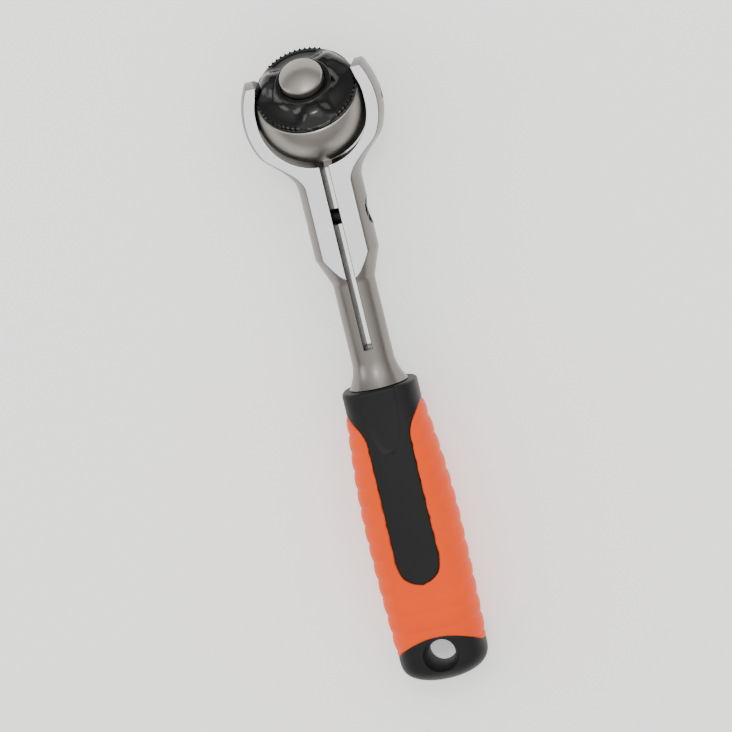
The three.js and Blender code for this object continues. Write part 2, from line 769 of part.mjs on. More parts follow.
// Half-width and half-thickness of the grip at a distance from its mouth.
function gripSection(at) {
  const heelAt = gripLength - heelRun;
  const rise = ease((at - collarRun) / (palmAt - collarRun));
  const fall = 1 - ease(1 - (at - palmAt) / (heelAt - palmAt));
  const wedge = 1 - ease(1 - (at - gripLength + wedgeRun) / wedgeRun);
  const end = Math.sqrt(Math.max(0, 1 - Math.max(0, (at - heelAt) / heelRun) ** 3));
  const mouth = Math.max(0, mouthRounding - at) / mouthRounding;
  const lip = mouthRounding * (1 - Math.sqrt(1 - mouth ** 2));
  const swell = collarHalfWidth + (palmHalfWidth - collarHalfWidth) * rise;
  const width = swell - (palmHalfWidth - heelHalfWidth) * fall;
  const palm = collarHalfThickness + (palmHalfThickness - collarHalfThickness) * rise;
  const depth = palm - (palmHalfThickness - heelHalfThickness) * wedge;
  return { width: width * end - lip, depth: depth * (heelBlunt + (1 - heelBlunt) * end) - lip };
}

// Skins rings of grip sections, drawn in by an inset and, on the sides, by ribs.
function gripBody(stations, inset, ribs) {
  const sides = plainSides + smallSides;
  const points = [];
  for (const at of stations) {
    const { width, depth } = gripSection(at);
    const valley = ribs * (0.5 - 0.5 * Math.cos((2 * Math.PI * (at - sleeveTipRun)) / ribPitch));
    for (let i = 0; i < sides; i += 1) {
      const angle = (2 * Math.PI * i) / sides;
      const [c, s] = [Math.cos(angle), Math.sin(angle)];
      const power = 2 / gripSquareness;
      const drawn = inset + valley * c * c;
      const x = Math.sign(c) * Math.abs(c) ** power * (width - drawn);
      const z = Math.sign(s) * Math.abs(s) ** power * (depth - drawn);
      points.push(x, -gripMouth - at, z);
    }
  }
  const rings = stations.length;
  const index = [];
  for (let ring = 0; ring + 1 < rings; ring += 1) {
    for (let i = 0; i < sides; i += 1) {
      const a = ring * sides + i;
      const b = ring * sides + ((i + 1) % sides);
      index.push(a, b, b + sides, a, b + sides, a + sides);
    }
  }
  const last = (rings - 1) * sides;
  for (let i = 1; i + 1 < sides; i += 1) {
    index.push(0, i + 1, i, last, last + i, last + i + 1);
  }
  const geometry = new THREE.BufferGeometry();
  geometry.setAttribute('position', new THREE.Float32BufferAttribute(points, 3));
  geometry.setIndex(index);
  return solid(geometry);
}

// Stations along the grip, closer together at its rounded ends.
function gripStations(from, to, step) {
  const middle = Array.from({ length: Math.floor((to - from) / step) + 1 }, (_, i) => from + i * step);
  const heelAt = gripLength - heelRun;
  const end = heelSteps.map((t) => heelAt + heelRun * t);
  const lip = lipSteps.map((t) => t * mouthRounding);
  return [...lip, ...middle.filter((at) => at > mouthRounding && at < heelAt), heelAt, ...end];
}

// The plan of the orange sleeve: two prongs round a long window, joined below it.
function sleeveOutline(gap) {
  const half = (palmHalfWidth + archRadius) / 2;
  const narrow = windowHalfWidth - windowWaist + gap;
  const wide = windowHalfWidth + gap;
  const tip = sleeveTipRun + (collarHalfWidth - windowHalfWidth) * sleeveTipLean + gap;
  const corner = tip - (half - wide) * sleeveTipLean;
  const windowTurn = windowEnd - windowHalfWidth;
  const archAngle = Math.asin(half / (archRadius + gap));
  const outline = new THREE.Shape();
  outline.moveTo(half, corner);
  outline.lineTo(wide, tip);
  outline.quadraticCurveTo(narrow, (tip + windowTurn) / 2, wide, windowTurn);
  outline.absarc(0, windowTurn, wide, 0, Math.PI, false);
  outline.quadraticCurveTo(-narrow, (tip + windowTurn) / 2, -wide, tip);
  outline.lineTo(-half, corner);
  const down = -Math.PI / 2;
  outline.absarc(0, archTop + archRadius, archRadius + gap, down - archAngle, down + archAngle, false);
  return outline;
}

function sleevePrism(gap) {
  const reach = 2 * palmHalfThickness;
  const upright = prism(sleeveOutline(gap), -reach, reach, smallSides);
  return upright.rotate([180, 0, 0]).translate([0, -gripMouth, 0]);
}

const plainStations = gripStations(0, gripLength, plainStep);
const ribStations = gripStations(sleeveTipRun % (ribPitch / 2), gripLength, ribPitch / 2);

// The black core: collar, window ridge and heel, bored for the tang and pierced by the hanging eye.
function gripCore() {
  const bed = sleevePrism(0).subtract(gripBody(plainStations, sleeveThickness, 0));
  const bore = turned([
    [0, 0],
    [tangRadius + runGap, 0],
    [tangRadius + runGap, tangEnd + seatGap],
    [0, tangEnd + seatGap],
  ]).rotate([90, 0, 0]);
  const reach = 2 * palmHalfThickness;
  const surface = gripSection(gripLength - eyeFromEnd).depth;
  const slope = (eyeMouthRadius - eyeRadius) / (surface - eyeFlare);
  const reachRadius = eyeRadius + slope * (reach - eyeFlare);
  const eye = turned([
    [0, -reach],
    [reachRadius, -reach],
    [eyeRadius, -eyeFlare],
    [eyeRadius, eyeFlare],
    [reachRadius, reach],
    [0, reach],
  ]).translate([0, -gripMouth - gripLength + eyeFromEnd, 0]);
  return gripBody(plainStations, 0, 0).subtract(bed).subtract(bore).subtract(eye);
}

function gripSleeve() {
  const skin = gripBody(ribStations, 0, ribDepth);
  return skin.intersect(sleevePrism(seatGap)).subtract(gripBody(plainStations, sleeveThickness - seatGap, 0));
}

// Builds the assembly: the handle and, turned by the flex angle, the head.
function assemble() {
  const tool = new THREE.Group();
  const head = new THREE.Group();
  head.name = 'head';
  head.rotation.x = -flexAngle;
  tool.add(head);
  place(tool, 'yoke_shank', yokeShank(), chrome);
  const core = place(tool, 'grip_core', gripCore(), mattBlack);
  const sleeve = place(tool, 'grip_sleeve', gripSleeve(), orangeRubber);
  place(tool, 'clamp_screw', clampScrew().translate([0, -screwAt, 0]), blackOxide);
  for (const [name, side] of [['right', 1], ['left', -1]]) {
    const handed = (shape) => (side > 0 ? shape : shape.mirror([1, 0, 0]));
    place(tool, `pivot_pin_${name}`, handed(pivotPin()), satinSteel);
    place(tool, `friction_washer_${name}`, handed(frictionWasher()), springSteel);
  }
  place(head, 'head_housing', ballHousing(), satinSteel);
  place(head, 'cover_plate', coverPlate(), darkSteel);
  place(head, 'selector_disc', selectorDisc(), darkSteel);
  place(head, 'selector_ring', selectorRing(), springSteel);
  place(head, 'reversing_dial', reversingDial(), glossBlack);
  const spindle = place(head, 'drive_spindle', driveSpindle(), chrome);
  place(head, 'drive_seal', driveSeal(), sealRubber);
  place(head, 'release_button', releaseButton(), satinSteel);
  place(head, 'release_plunger', releasePlunger(), darkSteel);
  const wellFloor = selectorBottom + hubFloor + seatGap;
  const springOuter = buttonRadius - dialBossWall - seatGap;
  const spring = coil(springOuter, releaseWire, wellFloor, buttonBottom - seatGap, releaseTurns);
  place(head, 'release_spring', spring, springSteel);
  place(head, 'detent_ball', detentBall(), springSteel);
  const tipPivot = polar(pawlPivotRadius, -pawlPivotAngle);
  place(head, 'pawl_left', pawl(), darkSteel);
  place(head, 'pawl_right', swung(pawl().mirror([0, 1, 0]), tipPivot, -pawlLift), darkSteel);
  for (const [name, side] of [['left', 1], ['right', -1]]) {
    place(head, `pawl_pin_${name}`, pawlPin(side), springSteel);
    place(head, `pawl_spring_${name}`, pawlSpring(side, side < 0), springSteel);
  }
  for (const [number, side] of [[1, 1], [2, -1]]) {
    const spot = coverScrewSpot(side);
    place(head, `cover_screw_${number}`, coverScrew().translate([spot.x, spot.y, 0]), blackOxide);
  }
  layDown(tool, [spindle], [core, sleeve]);
  return tool;
}

// The least height of some meshes once the tool is tilted about X.
function lowest(meshes, tilt) {
  let least = Infinity;
  const point = new THREE.Vector3();
  for (const mesh of meshes) {
    const position = mesh.geometry.getAttribute('position');
    for (let i = 0; i < position.count; i += 1) {
      point.fromBufferAttribute(position, i).applyMatrix4(mesh.matrixWorld);
      least = Math.min(least, point.y * Math.sin(tilt) + point.z * Math.cos(tilt));
    }
  }
  return least;
}

// Tilts the tool until drive and grip stand on one level, and sets its base centre on the origin.
function layDown(tool, drive, grip) {
  tool.updateMatrixWorld(true);
  let [low, high] = [-tiltLimit, tiltLimit];
  for (let i = 0; i < tiltHalvings; i += 1) {
    const middle = (low + high) / 2;
    if (lowest(drive, middle) < lowest(grip, middle)) low = middle;
    else high = middle;
  }
  tool.rotation.x = low;
  const bounds = new THREE.Box3().setFromObject(tool, true);
  const centre = bounds.getCenter(new THREE.Vector3());
  tool.position.set(-centre.x, -centre.y, -bounds.min.z);
}

export default assemble();
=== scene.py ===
"""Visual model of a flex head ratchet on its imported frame.

Lengths in this file are millimetres in the handle's or the head's own frame. Both frames have their origin
at the flex pivot. Handle: +Y to the tip, grip along -Y, +Z out of the upper flat. Head: +Z along the dial.
Meshes are put into the row frame, in metres, through the two matrices of Frames.
"""
from __future__ import annotations

import json
import logging
import math
from dataclasses import dataclass
from enum import Enum
from typing import Any, Sequence

import bpy
import numpy as np
from mathutils import Matrix, Vector

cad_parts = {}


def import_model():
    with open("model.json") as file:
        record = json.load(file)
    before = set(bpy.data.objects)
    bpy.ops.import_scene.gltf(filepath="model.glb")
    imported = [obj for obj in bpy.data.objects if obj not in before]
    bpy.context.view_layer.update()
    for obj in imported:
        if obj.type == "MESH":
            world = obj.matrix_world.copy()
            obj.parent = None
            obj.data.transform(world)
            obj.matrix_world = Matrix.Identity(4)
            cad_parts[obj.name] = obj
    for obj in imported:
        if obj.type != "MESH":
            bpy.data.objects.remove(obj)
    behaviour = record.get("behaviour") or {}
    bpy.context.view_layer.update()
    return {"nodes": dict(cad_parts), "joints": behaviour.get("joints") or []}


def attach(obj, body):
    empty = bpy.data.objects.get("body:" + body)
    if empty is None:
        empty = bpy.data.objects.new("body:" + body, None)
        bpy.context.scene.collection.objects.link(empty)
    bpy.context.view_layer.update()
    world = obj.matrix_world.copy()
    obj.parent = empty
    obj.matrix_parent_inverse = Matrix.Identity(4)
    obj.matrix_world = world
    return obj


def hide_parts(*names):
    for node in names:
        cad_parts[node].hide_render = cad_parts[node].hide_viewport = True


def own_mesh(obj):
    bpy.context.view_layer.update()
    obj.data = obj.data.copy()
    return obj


LOG = logging.getLogger("ratchet")
MM = 0.001
TAU = 2.0 * math.pi
# Lean of the head in the handle at rest, and the angle from which edges stay sharp.
FLEX = math.radians(45.0)
SHARP = math.radians(32.0)
# Lengths that count as nothing and as out of reach, in millimetres.
NEAR, FAR = 1e-9, 1e9
# Most of a side that one rounding takes.
SIDE_SHARE = 0.45
# Facets of bores and pins, and of larger turned faces.
BORE_SIDES, FINE_SIDES = 64, 128
MATH = "ShaderNodeMath"
VECTOR_MATH = "ShaderNodeVectorMath"


class Body(str, Enum):
    """CAD bodies that pieces ride on."""

    HANDLE = "handle"
    CLAMP = "clamp"
    HEAD = "head"
    DIAL = "dial"
    BUTTON = "button"
    DETENT = "detent"


class Surface(Enum):
    """How a finish answers light."""

    METAL = "metal"
    PLASTIC = "plastic"
    RUBBER = "rubber"


@dataclass(frozen=True)
class Finish:
    """One real material.

    Attributes:
        title: name of the Blender material.
        colour: sRGB hex colour.
        surface: how it answers light.
        roughness: mean roughness.
        spread: how far the roughness wanders either way.
        grain_mm: size of the surface grain.
        relief_mm: depth of the grain.
        shine: level of plain reflection.
    """

    title: str
    colour: str
    surface: Surface
    roughness: float
    spread: float
    grain_mm: float
    relief_mm: float
    shine: float = 0.5


def linear(hex_colour: str) -> tuple[float, float, float, float]:
    """Converts an sRGB hex colour to linear RGBA.

    Args:
        hex_colour: six hex digits.

    Returns:
        Linear red, green, blue and alpha 1.
    """
    parts = [int(hex_colour[i:i + 2], 16) / 255.0 for i in (0, 2, 4)]
    rgb = [c / 12.92 if c <= 0.04045 else ((c + 0.055) / 1.055) ** 2.4 for c in parts]
    return (rgb[0], rgb[1], rgb[2], 1.0)


def add_node(tree: bpy.types.NodeTree, kind: str, values: dict[Any, Any] | None = None,
             **attributes: Any) -> Any:
    """Adds a node and sets its attributes and unlinked sockets.

    Args:
        tree: node tree to add to.
        kind: Blender node type.
        values: socket name or index to value, or to an output socket to link from.
        **attributes: node attributes.

    Returns:
        The new node.
    """
    node = tree.nodes.new(kind)
    for name, value in attributes.items():
        setattr(node, name, value)
    for key, value in (values or {}).items():
        if isinstance(value, bpy.types.NodeSocket):
            tree.links.new(value, node.inputs[key])
        else:
            node.inputs[key].default_value = value
    return node


class Finishes:
    """The tool's finishes, each built once as a procedural material."""

    # Bright satin plating of the ground flats, which take the light whole.
    CHROME = Finish("satin chrome plate", "E6EAEA", Surface.METAL, 0.27, 0.04, 0.35, 0.0012)
    # Darker, slightly rougher copy of the chrome plating for the yoke's walls and the drive: painted shade,
    # grey beside the bright flats.
    CHROME_SHADED = Finish("chrome plate with painted shade", "7C7875", Surface.METAL, 0.32, 0.05, 0.3, 0.002)
    # Bored and sawn faces of the yoke: near black, painted shade in the slit and round the ball.
    STEEL_SHADED = Finish("bore steel with painted shade", "34322F", Surface.METAL, 0.46, 0.05, 0.3, 0.002)
    # Blasted steel of the ball and button, softer than the plating.
    SATIN_STEEL = Finish("satin steel", "918D88", Surface.METAL, 0.36, 0.05, 0.25, 0.0015)
    # Ground steel of the hidden works, darker and plainer.
    DARK_STEEL = Finish("ground tool steel", "5A5B5D", Surface.METAL, 0.42, 0.06, 0.4, 0.002)
    # Drawn wire and bearing balls, smooth and cool.
    SPRING_STEEL = Finish("spring steel", "8C8E92", Surface.METAL, 0.3, 0.04, 0.3, 0.0008)
    # Blackened screws: dark with a dull metal glint.
    BLACK_OXIDE = Finish("black oxide steel", "2A2B2D", Surface.METAL, 0.42, 0.06, 0.3, 0.002)
    # Moulded dial: near black with clear highlights.
    GLOSS_BLACK = Finish("gloss black plastic", "040404", Surface.PLASTIC, 0.16, 0.03, 0.8, 0.0015, 0.4)
    # Hard grip plastic with a fine spark-eroded grain.
    MATT_BLACK = Finish("matt black plastic", "0E1010", Surface.PLASTIC, 0.5, 0.05, 0.3, 0.006, 0.25)
    # Soft orange cushion, dull and slightly mottled.
    ORANGE_RUBBER = Finish("orange soft rubber", "F24C00", Surface.RUBBER, 0.62, 0.06, 0.5, 0.006, 0.2)
    # Black O-ring rubber.
    SEAL_RUBBER = Finish("nitrile rubber", "0C0C0C", Surface.RUBBER, 0.6, 0.05, 0.4, 0.003)

    # Broad patches, in grains, over which roughness and tint wander.
    PATCH = 40.0
    # Middle band of the noise that is stretched to the full wander.
    BAND = {"From Min": 0.3, "From Max": 0.7}
    # Darkest and lightest patch of a rubber, as a share of its colour.
    RUBBER_TINT = {"To Min": 0.95, "To Max": 1.04}
    RUBBER_SHEEN = 0.08
    GRAIN_STRENGTH = 0.6

    def __init__(self) -> None:
        self._made: dict[Finish, bpy.types.Material] = {}

    def get(self, finish: Finish) -> bpy.types.Material:
        """Returns the material of a finish, building it the first time.

        Args:
            finish: the finish wanted.

        Returns:
            Its Blender material.
        """
        if finish not in self._made:
            self._made[finish] = self._build(finish)
        return self._made[finish]

    def _build(self, finish: Finish) -> bpy.types.Material:
        """Builds one finish: Object-space grain for roughness, colour and relief under one shader."""
        material = bpy.data.materials.new(finish.title)
        material.use_nodes = True
        tree = material.node_tree
        tree.nodes.clear()
        place = add_node(tree, "ShaderNodeTexCoord").outputs["Object"]
        # Fine grain for the relief, and broad patches for roughness and tint.
        grain = add_node(tree, "ShaderNodeTexNoise", {
            "Vector": place, "Scale": 1.0 / (finish.grain_mm * MM), "Detail": 3.0, "Roughness": 0.6})
        cloud = add_node(tree, "ShaderNodeTexNoise", {
            "Vector": place, "Scale": 1.0 / (self.PATCH * finish.grain_mm * MM), "Detail": 2.0})
        rough = add_node(tree, "ShaderNodeMapRange", {
            "Value": cloud.outputs["Fac"], **self.BAND,
            "To Min": finish.roughness - finish.spread, "To Max": finish.roughness + finish.spread})
        bump = add_node(tree, "ShaderNodeBump", {
            "Height": grain.outputs["Fac"], "Strength": self.GRAIN_STRENGTH,
            "Distance": finish.relief_mm * MM})
        shader = add_node(tree, "ShaderNodeBsdfPrincipled", {
            "Base Color": linear(finish.colour), "Roughness": rough.outputs["Result"],
            "Normal": bump.outputs["Normal"],
            "Metallic": 1.0 if finish.surface is Surface.METAL else 0.0,
            "Specular IOR Level": finish.shine,
            "Sheen Weight": self.RUBBER_SHEEN if finish.surface is Surface.RUBBER else 0.0})
        # Rubber is mottled: its patches also lighten and darken the colour.
        if finish.surface is Surface.RUBBER:
            value = add_node(tree, "ShaderNodeMapRange", {
                "Value": cloud.outputs["Fac"], **self.BAND, **self.RUBBER_TINT})
            tint = add_node(tree, "ShaderNodeHueSaturation", {
                "Color": linear(finish.colour), "Value": value.outputs["Result"]})
            tree.links.new(tint.outputs["Color"], shader.inputs["Base Color"])
        add_node(tree, "ShaderNodeOutputMaterial", {"Surface": shader.outputs["BSDF"]})
        return material


@dataclass(frozen=True)
class Frames:
    """Matrices from the two millimetre frames to the row frame.

    Attributes:
        handle: from the handle's frame.
        head: from the head's frame.
    """

    handle: Matrix
    head: Matrix

    @classmethod
    def from_joints(cls, joints: Sequence[dict[str, Any]]) -> "Frames":
        """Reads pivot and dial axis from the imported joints.

        Args:
            joints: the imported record's joints.

        Returns:
            The two frames.
        """
        named = {joint["name"]: joint for joint in joints}
        pivot = Vector(named["head_flex"]["pos_m"])
        dial = Vector(named["drive_spin"]["axis"]).normalized()
        side = Vector(named["head_flex"]["axis"]).normalized()
        ahead = dial.cross(side)
        turn = Matrix((side, ahead, dial)).transposed().to_4x4()
        head = Matrix.Translation(pivot) @ turn @ Matrix.Scale(MM, 4)
        return cls(handle=head @ Matrix.Rotation(FLEX, 4, "X"), head=head)


@dataclass
class Mesh:
    """Plain vertices and faces in millimetres."""

    points: np.ndarray
    faces: list[tuple[int, ...]]

    def turned_to_x(self) -> "Mesh":
        """Returns the mesh with its Z axis laid along X."""
        x, y, z = self.points.T
        return Mesh(np.column_stack((z, y, -x)), self.faces)

    def laid_back(self) -> "Mesh":
        """Returns the mesh with its Z axis laid along -Y."""
        x, y, z = self.points.T
        return Mesh(np.column_stack((x, -z, y)), self.faces)

    def moved(self, by: Sequence[float]) -> "Mesh":
        """Returns the mesh moved by a vector."""
        return Mesh(self.points + np.asarray(by, dtype=float), self.faces)

    def mirrored(self) -> "Mesh":
        """Returns the mesh mirrored in X, still facing outwards."""
        return Mesh(self.points * np.array([-1.0, 1.0, 1.0]), [face[::-1] for face in self.faces])


def bend(t: float, start: Any, middle: Any, end: Any) -> Any:
    """Reads a quadratic curve.

    Args:
        t: share of the way, from 0 to 1.
        start: number or point where the curve starts.
        middle: number or point that it is drawn towards.
        end: number or point where it ends.

    Returns:
        The number or point at the share.
    """
    return (1 - t) ** 2 * start + 2 * t * (1 - t) * middle + t * t * end


def walked(line: np.ndarray) -> np.ndarray:
    """Measures a polyline.

    Args:
        line: its points, one to a row.

    Returns:
        The distance walked along it at each point.
    """
    return np.concatenate(([0], np.cumsum(np.linalg.norm(np.diff(line, axis=0), axis=1))))


def running_mean(values: np.ndarray, width: int) -> np.ndarray:
    """Smooths evenly spaced values, with both ends kept in place.

    Args:
        values: the values.
        width: odd number of values in each mean.

    Returns:
        As many smoothed values.
    """
    padded = np.pad(values, width // 2, mode="reflect", reflect_type="odd")
    return np.convolve(padded, np.ones(width) / width, mode="valid")


def smooth_step(low: float, high: float, value: np.ndarray) -> np.ndarray:
    """Rises smoothly from 0 to 1.

    Args:
        low: value up to which the result is 0.
        high: value from which it is 1.
        value: the values.

    Returns:
        The risen shares.
    """
    t = np.clip((value - low) / (high - low), 0.0, 1.0)
    return t * t * (3.0 - 2.0 * t)


def loft(rings: np.ndarray, capped: bool = True) -> Mesh:
    """Skins a stack of closed rings of equal length.

    Args:
        rings: array of shape (stations, points, 3).
        capped: closes both ends with a face.

    Returns:
        The skinned mesh.
    """
    stations, count, _ = rings.shape
    faces: list[tuple[int, ...]] = []
    for s in range(stations - 1):
        for i in range(count):
            j = (i + 1) % count
            a, b = s * count, (s + 1) * count
            faces.append((a + i, a + j, b + j, b + i))
    if capped:
        faces.append(tuple(range(count - 1, -1, -1)))
        faces.append(tuple(range((stations - 1) * count, stations * count)))
    return Mesh(rings.reshape(-1, 3), faces)


def lathe(profile: Sequence[tuple[float, float]], sides: int) -> Mesh:
    """Turns an open or closed profile of (radius, height) about Z.

    Args:
        profile: points from bottom centre round the outside; equal ends make a closed ring.
        sides: number of facets.

    Returns:
        The turned mesh, with points on the axis merged.
    """
    points: list[tuple[float, float, float]] = []
    index: list[list[int]] = []
    closed = math.dist(profile[0], profile[-1]) < NEAR
    for radius, height in profile[:-1] if closed else profile:
        start = len(points)
        if radius < NEAR:
            points.append((0.0, 0.0, height))
            index.append([start] * sides)
            continue
        points += [(radius * math.cos(TAU * i / sides), radius * math.sin(TAU * i / sides), height)
                   for i in range(sides)]
        index.append(list(range(start, start + sides)))
    if closed:
        index.append(index[0])
    faces = []
    for low, high in zip(index, index[1:]):
        for i in range(sides):
            j = (i + 1) % sides
            corners = dict.fromkeys((low[i], low[j], high[j], high[i]))
            if len(corners) > 2:
                faces.append(tuple(corners))
    return Mesh(np.array(points), faces)


def drill(radius: float, low: float, high: float) -> Mesh:
    """Makes a plain round cutter about Z.

    Args:
        radius: its radius.
        low: its lower end.
        high: its upper end.

    Returns:
        The cutter.
    """
    return lathe([(0, low), (radius, low), (radius, high), (0, high)], BORE_SIDES)


def rounded(profile: Sequence[tuple[float, float]], radius: float,
            steps: int = 4) -> list[tuple[float, float]]:
    """Rounds the inner corners of an open polyline, or every corner of a closed one.

    Args:
        profile: points of the polyline.
        radius: set-back of each rounding along both sides.
        steps: points in each rounding.

    Returns:
        The rounded polyline.
    """
    closed = math.dist(profile[0], profile[-1]) < NEAR
    core = [np.array(p, dtype=float) for p in (profile[:-1] if closed else profile)]
    result: list[tuple[float, float]] = []
    count = len(core)
    for i, corner in enumerate(core):
        if not closed and i in (0, count - 1):
            result.append(tuple(corner))
            continue
        before, after = core[i - 1] - corner, core[(i + 1) % count] - corner
        back = min(radius, SIDE_SHARE * np.linalg.norm(before), SIDE_SHARE * np.linalg.norm(after))
        enter = corner + before / np.linalg.norm(before) * back
        leave = corner + after / np.linalg.norm(after) * back
        result += [tuple(bend(k / steps, enter, corner, leave)) for k in range(steps + 1)]
    if closed:
        result.append(result[0])
    return result


def placed(name: str, data: Any) -> bpy.types.Object:
    """Makes an object and links it to the scene.

    Args:
        name: name of the object.
        data: its mesh, light or camera.

    Returns:
        The linked object.
    """
    obj = bpy.data.objects.new(name, data)
    bpy.context.scene.collection.objects.link(obj)
    return obj


def open_tree(title: str, wanted: dict[str, tuple[str, Any]]) -> tuple[bpy.types.NodeTree, Any]:
    """Starts a Geometry Nodes tree with its settings as inputs.

    Args:
        title: name of the tree.
        wanted: setting to socket type and value.

    Returns:
        The tree and the outputs of its group input.
    """
    tree = bpy.data.node_groups.new(title, "GeometryNodeTree")
    face = tree.interface
    face.new_socket(name="Geometry", in_out="INPUT", socket_type="NodeSocketGeometry")
    face.new_socket(name="Geometry", in_out="OUTPUT", socket_type="NodeSocketGeometry")
    for name, (kind, _) in wanted.items():
        face.new_socket(name=name, in_out="INPUT", socket_type=kind)
    return tree, add_node(tree, "NodeGroupInput").outputs


def close_tree(obj: bpy.types.Object, tree: bpy.types.NodeTree, wanted: dict[str, tuple[str, Any]],
               geometry: Any, material: Any) -> None:
    """Ends a Geometry Nodes tree in a painted mesh and puts it on an object.

    Args:
        obj: the object that gets the modifier.
        tree: the tree.
        wanted: setting to socket type and value.
        geometry: output socket of the finished geometry.
        material: output socket of the material.
    """
    solid = add_node(tree, "GeometryNodeRealizeInstances", {"Geometry": geometry})
    painted = add_node(tree, "GeometryNodeSetMaterial", {
        "Geometry": solid.outputs["Geometry"], "Material": material})
    add_node(tree, "NodeGroupOutput", {"Geometry": painted.outputs["Geometry"]})
    modifier = obj.modifiers.new(tree.name, "NODES")
    modifier.node_group = tree
    for socket in tree.interface.items_tree:
        if socket.name in wanted:
            modifier[socket.identifier] = wanted[socket.name][1]


class Workshop:
    """Makes Blender objects out of meshes and hands them to the frame."""

    def __init__(self, frames: Frames, finishes: Finishes) -> None:
        self.frames = frames
        self.finishes = finishes

    def raw(self, name: str, mesh: Mesh, matrix: Matrix) -> bpy.types.Object:
        """Makes an object whose place is in its mesh.

        Args:
            name: name of the object.
            mesh: millimetre mesh.
            matrix: millimetre frame to row frame.

        Returns:
            The linked object.
        """
        turn = np.array(matrix)
        points = mesh.points @ turn[:3, :3].T + turn[:3, 3]
        data = bpy.data.meshes.new(name)
        data.from_pydata(points.tolist(), [], mesh.faces)
        data.validate()
        return placed(name, data)

    @staticmethod
    def cut(obj: bpy.types.Object, tools: Sequence[bpy.types.Object]) -> None:
        """Subtracts tool objects from an object and deletes them.

        Args:
            obj: the object to cut.
            tools: cutters in the row frame.
        """
        for tool in tools:
            modifier = obj.modifiers.new("cut", "BOOLEAN")
            modifier.operation = "DIFFERENCE"
            modifier.solver = "EXACT"
            modifier.object = tool
        Workshop.flatten(obj)
        for tool in tools:
            bpy.data.objects.remove(tool)

    @staticmethod
    def flatten(obj: bpy.types.Object) -> None:
        """Replaces an object's mesh by its evaluated form and drops its modifiers."""
        depsgraph = bpy.context.evaluated_depsgraph_get()
        depsgraph.update()
        data = bpy.data.meshes.new_from_object(obj.evaluated_get(depsgraph))
        obj.modifiers.clear()
        obj.data = data

    @staticmethod
    def join(parts: Sequence[bpy.types.Object], name: str) -> bpy.types.Object:
        """Joins the meshes of several objects at the origin into a new object.

        Args:
            parts: objects to join.
            name: name of the result.

        Returns:
            The joined object.
        """
        points: list[tuple[float, ...]] = []
        faces: list[tuple[int, ...]] = []
        for part in parts:
            start = len(points)
            points += [tuple(v.co) for v in part.data.vertices]
            faces += [tuple(start + i for i in p.vertices) for p in part.data.polygons]
        for part in parts:
            bpy.data.objects.remove(part)
        data = bpy.data.meshes.new(name)
        data.from_pydata(points, [], faces)
        return placed(name, data)

    def hand_over(self, obj: bpy.types.Object, body: Body, finish: Finish,
                  nodes: Sequence[str] = (), sharp: float = SHARP) -> bpy.types.Object:
        """Args:
            obj: the piece.
            body: the CAD body that it rides on.
            finish: its finish.
            nodes: CAD nodes that it replaces.
            sharp: angle from which edges stay sharp.

        Returns:
            The piece.
        """
        obj.data.shade_smooth()
        obj.data.set_sharp_from_angle(angle=sharp)
        obj.data.materials.clear()
        obj.data.materials.append(self.finishes.get(finish))
        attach(obj, body.value)
        if nodes:
            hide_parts(*nodes)
        LOG.info("%s: %d faces on %s", obj.name, len(obj.data.polygons), body.value)
        return obj


@dataclass(frozen=True)
class YokeSizes:
    """Yoke, clamp block and shank, measured from the flex pivot."""

    radius: float = 21.86
    reach: float = 24.0
    setback: float = 1.7
    tip: float = 11.2
    tip_thickness: float = 2.4
    nose: float = 1.7
    flat: float = 7.1
    socket: float = 18.16
    hug: float = math.radians(19.0)
    shoulder: float = math.radians(62.0)
    neck_ease: float = 0.21
    neck: float = 24.56
    block: float = 10.0
    block_end: float = 46.76
    cone_end: float = 55.36
    shank: float = 6.6
    shank_end: float = 80.16
    flare: float = 9.2
    flare_end: float = 88.36
    slit: float = 1.3
    slit_end: float = 76.66
    edge: float = 0.35
    blend: float = 0.5
    pivot_hole: float = 2.7
    screw_at: float = 35.06
    screw_hole: float = 2.7
    head_hole: float = 4.45
    head_seat: float = 3.9
    flat_lean: float = 0.95
    through: float = 30.0


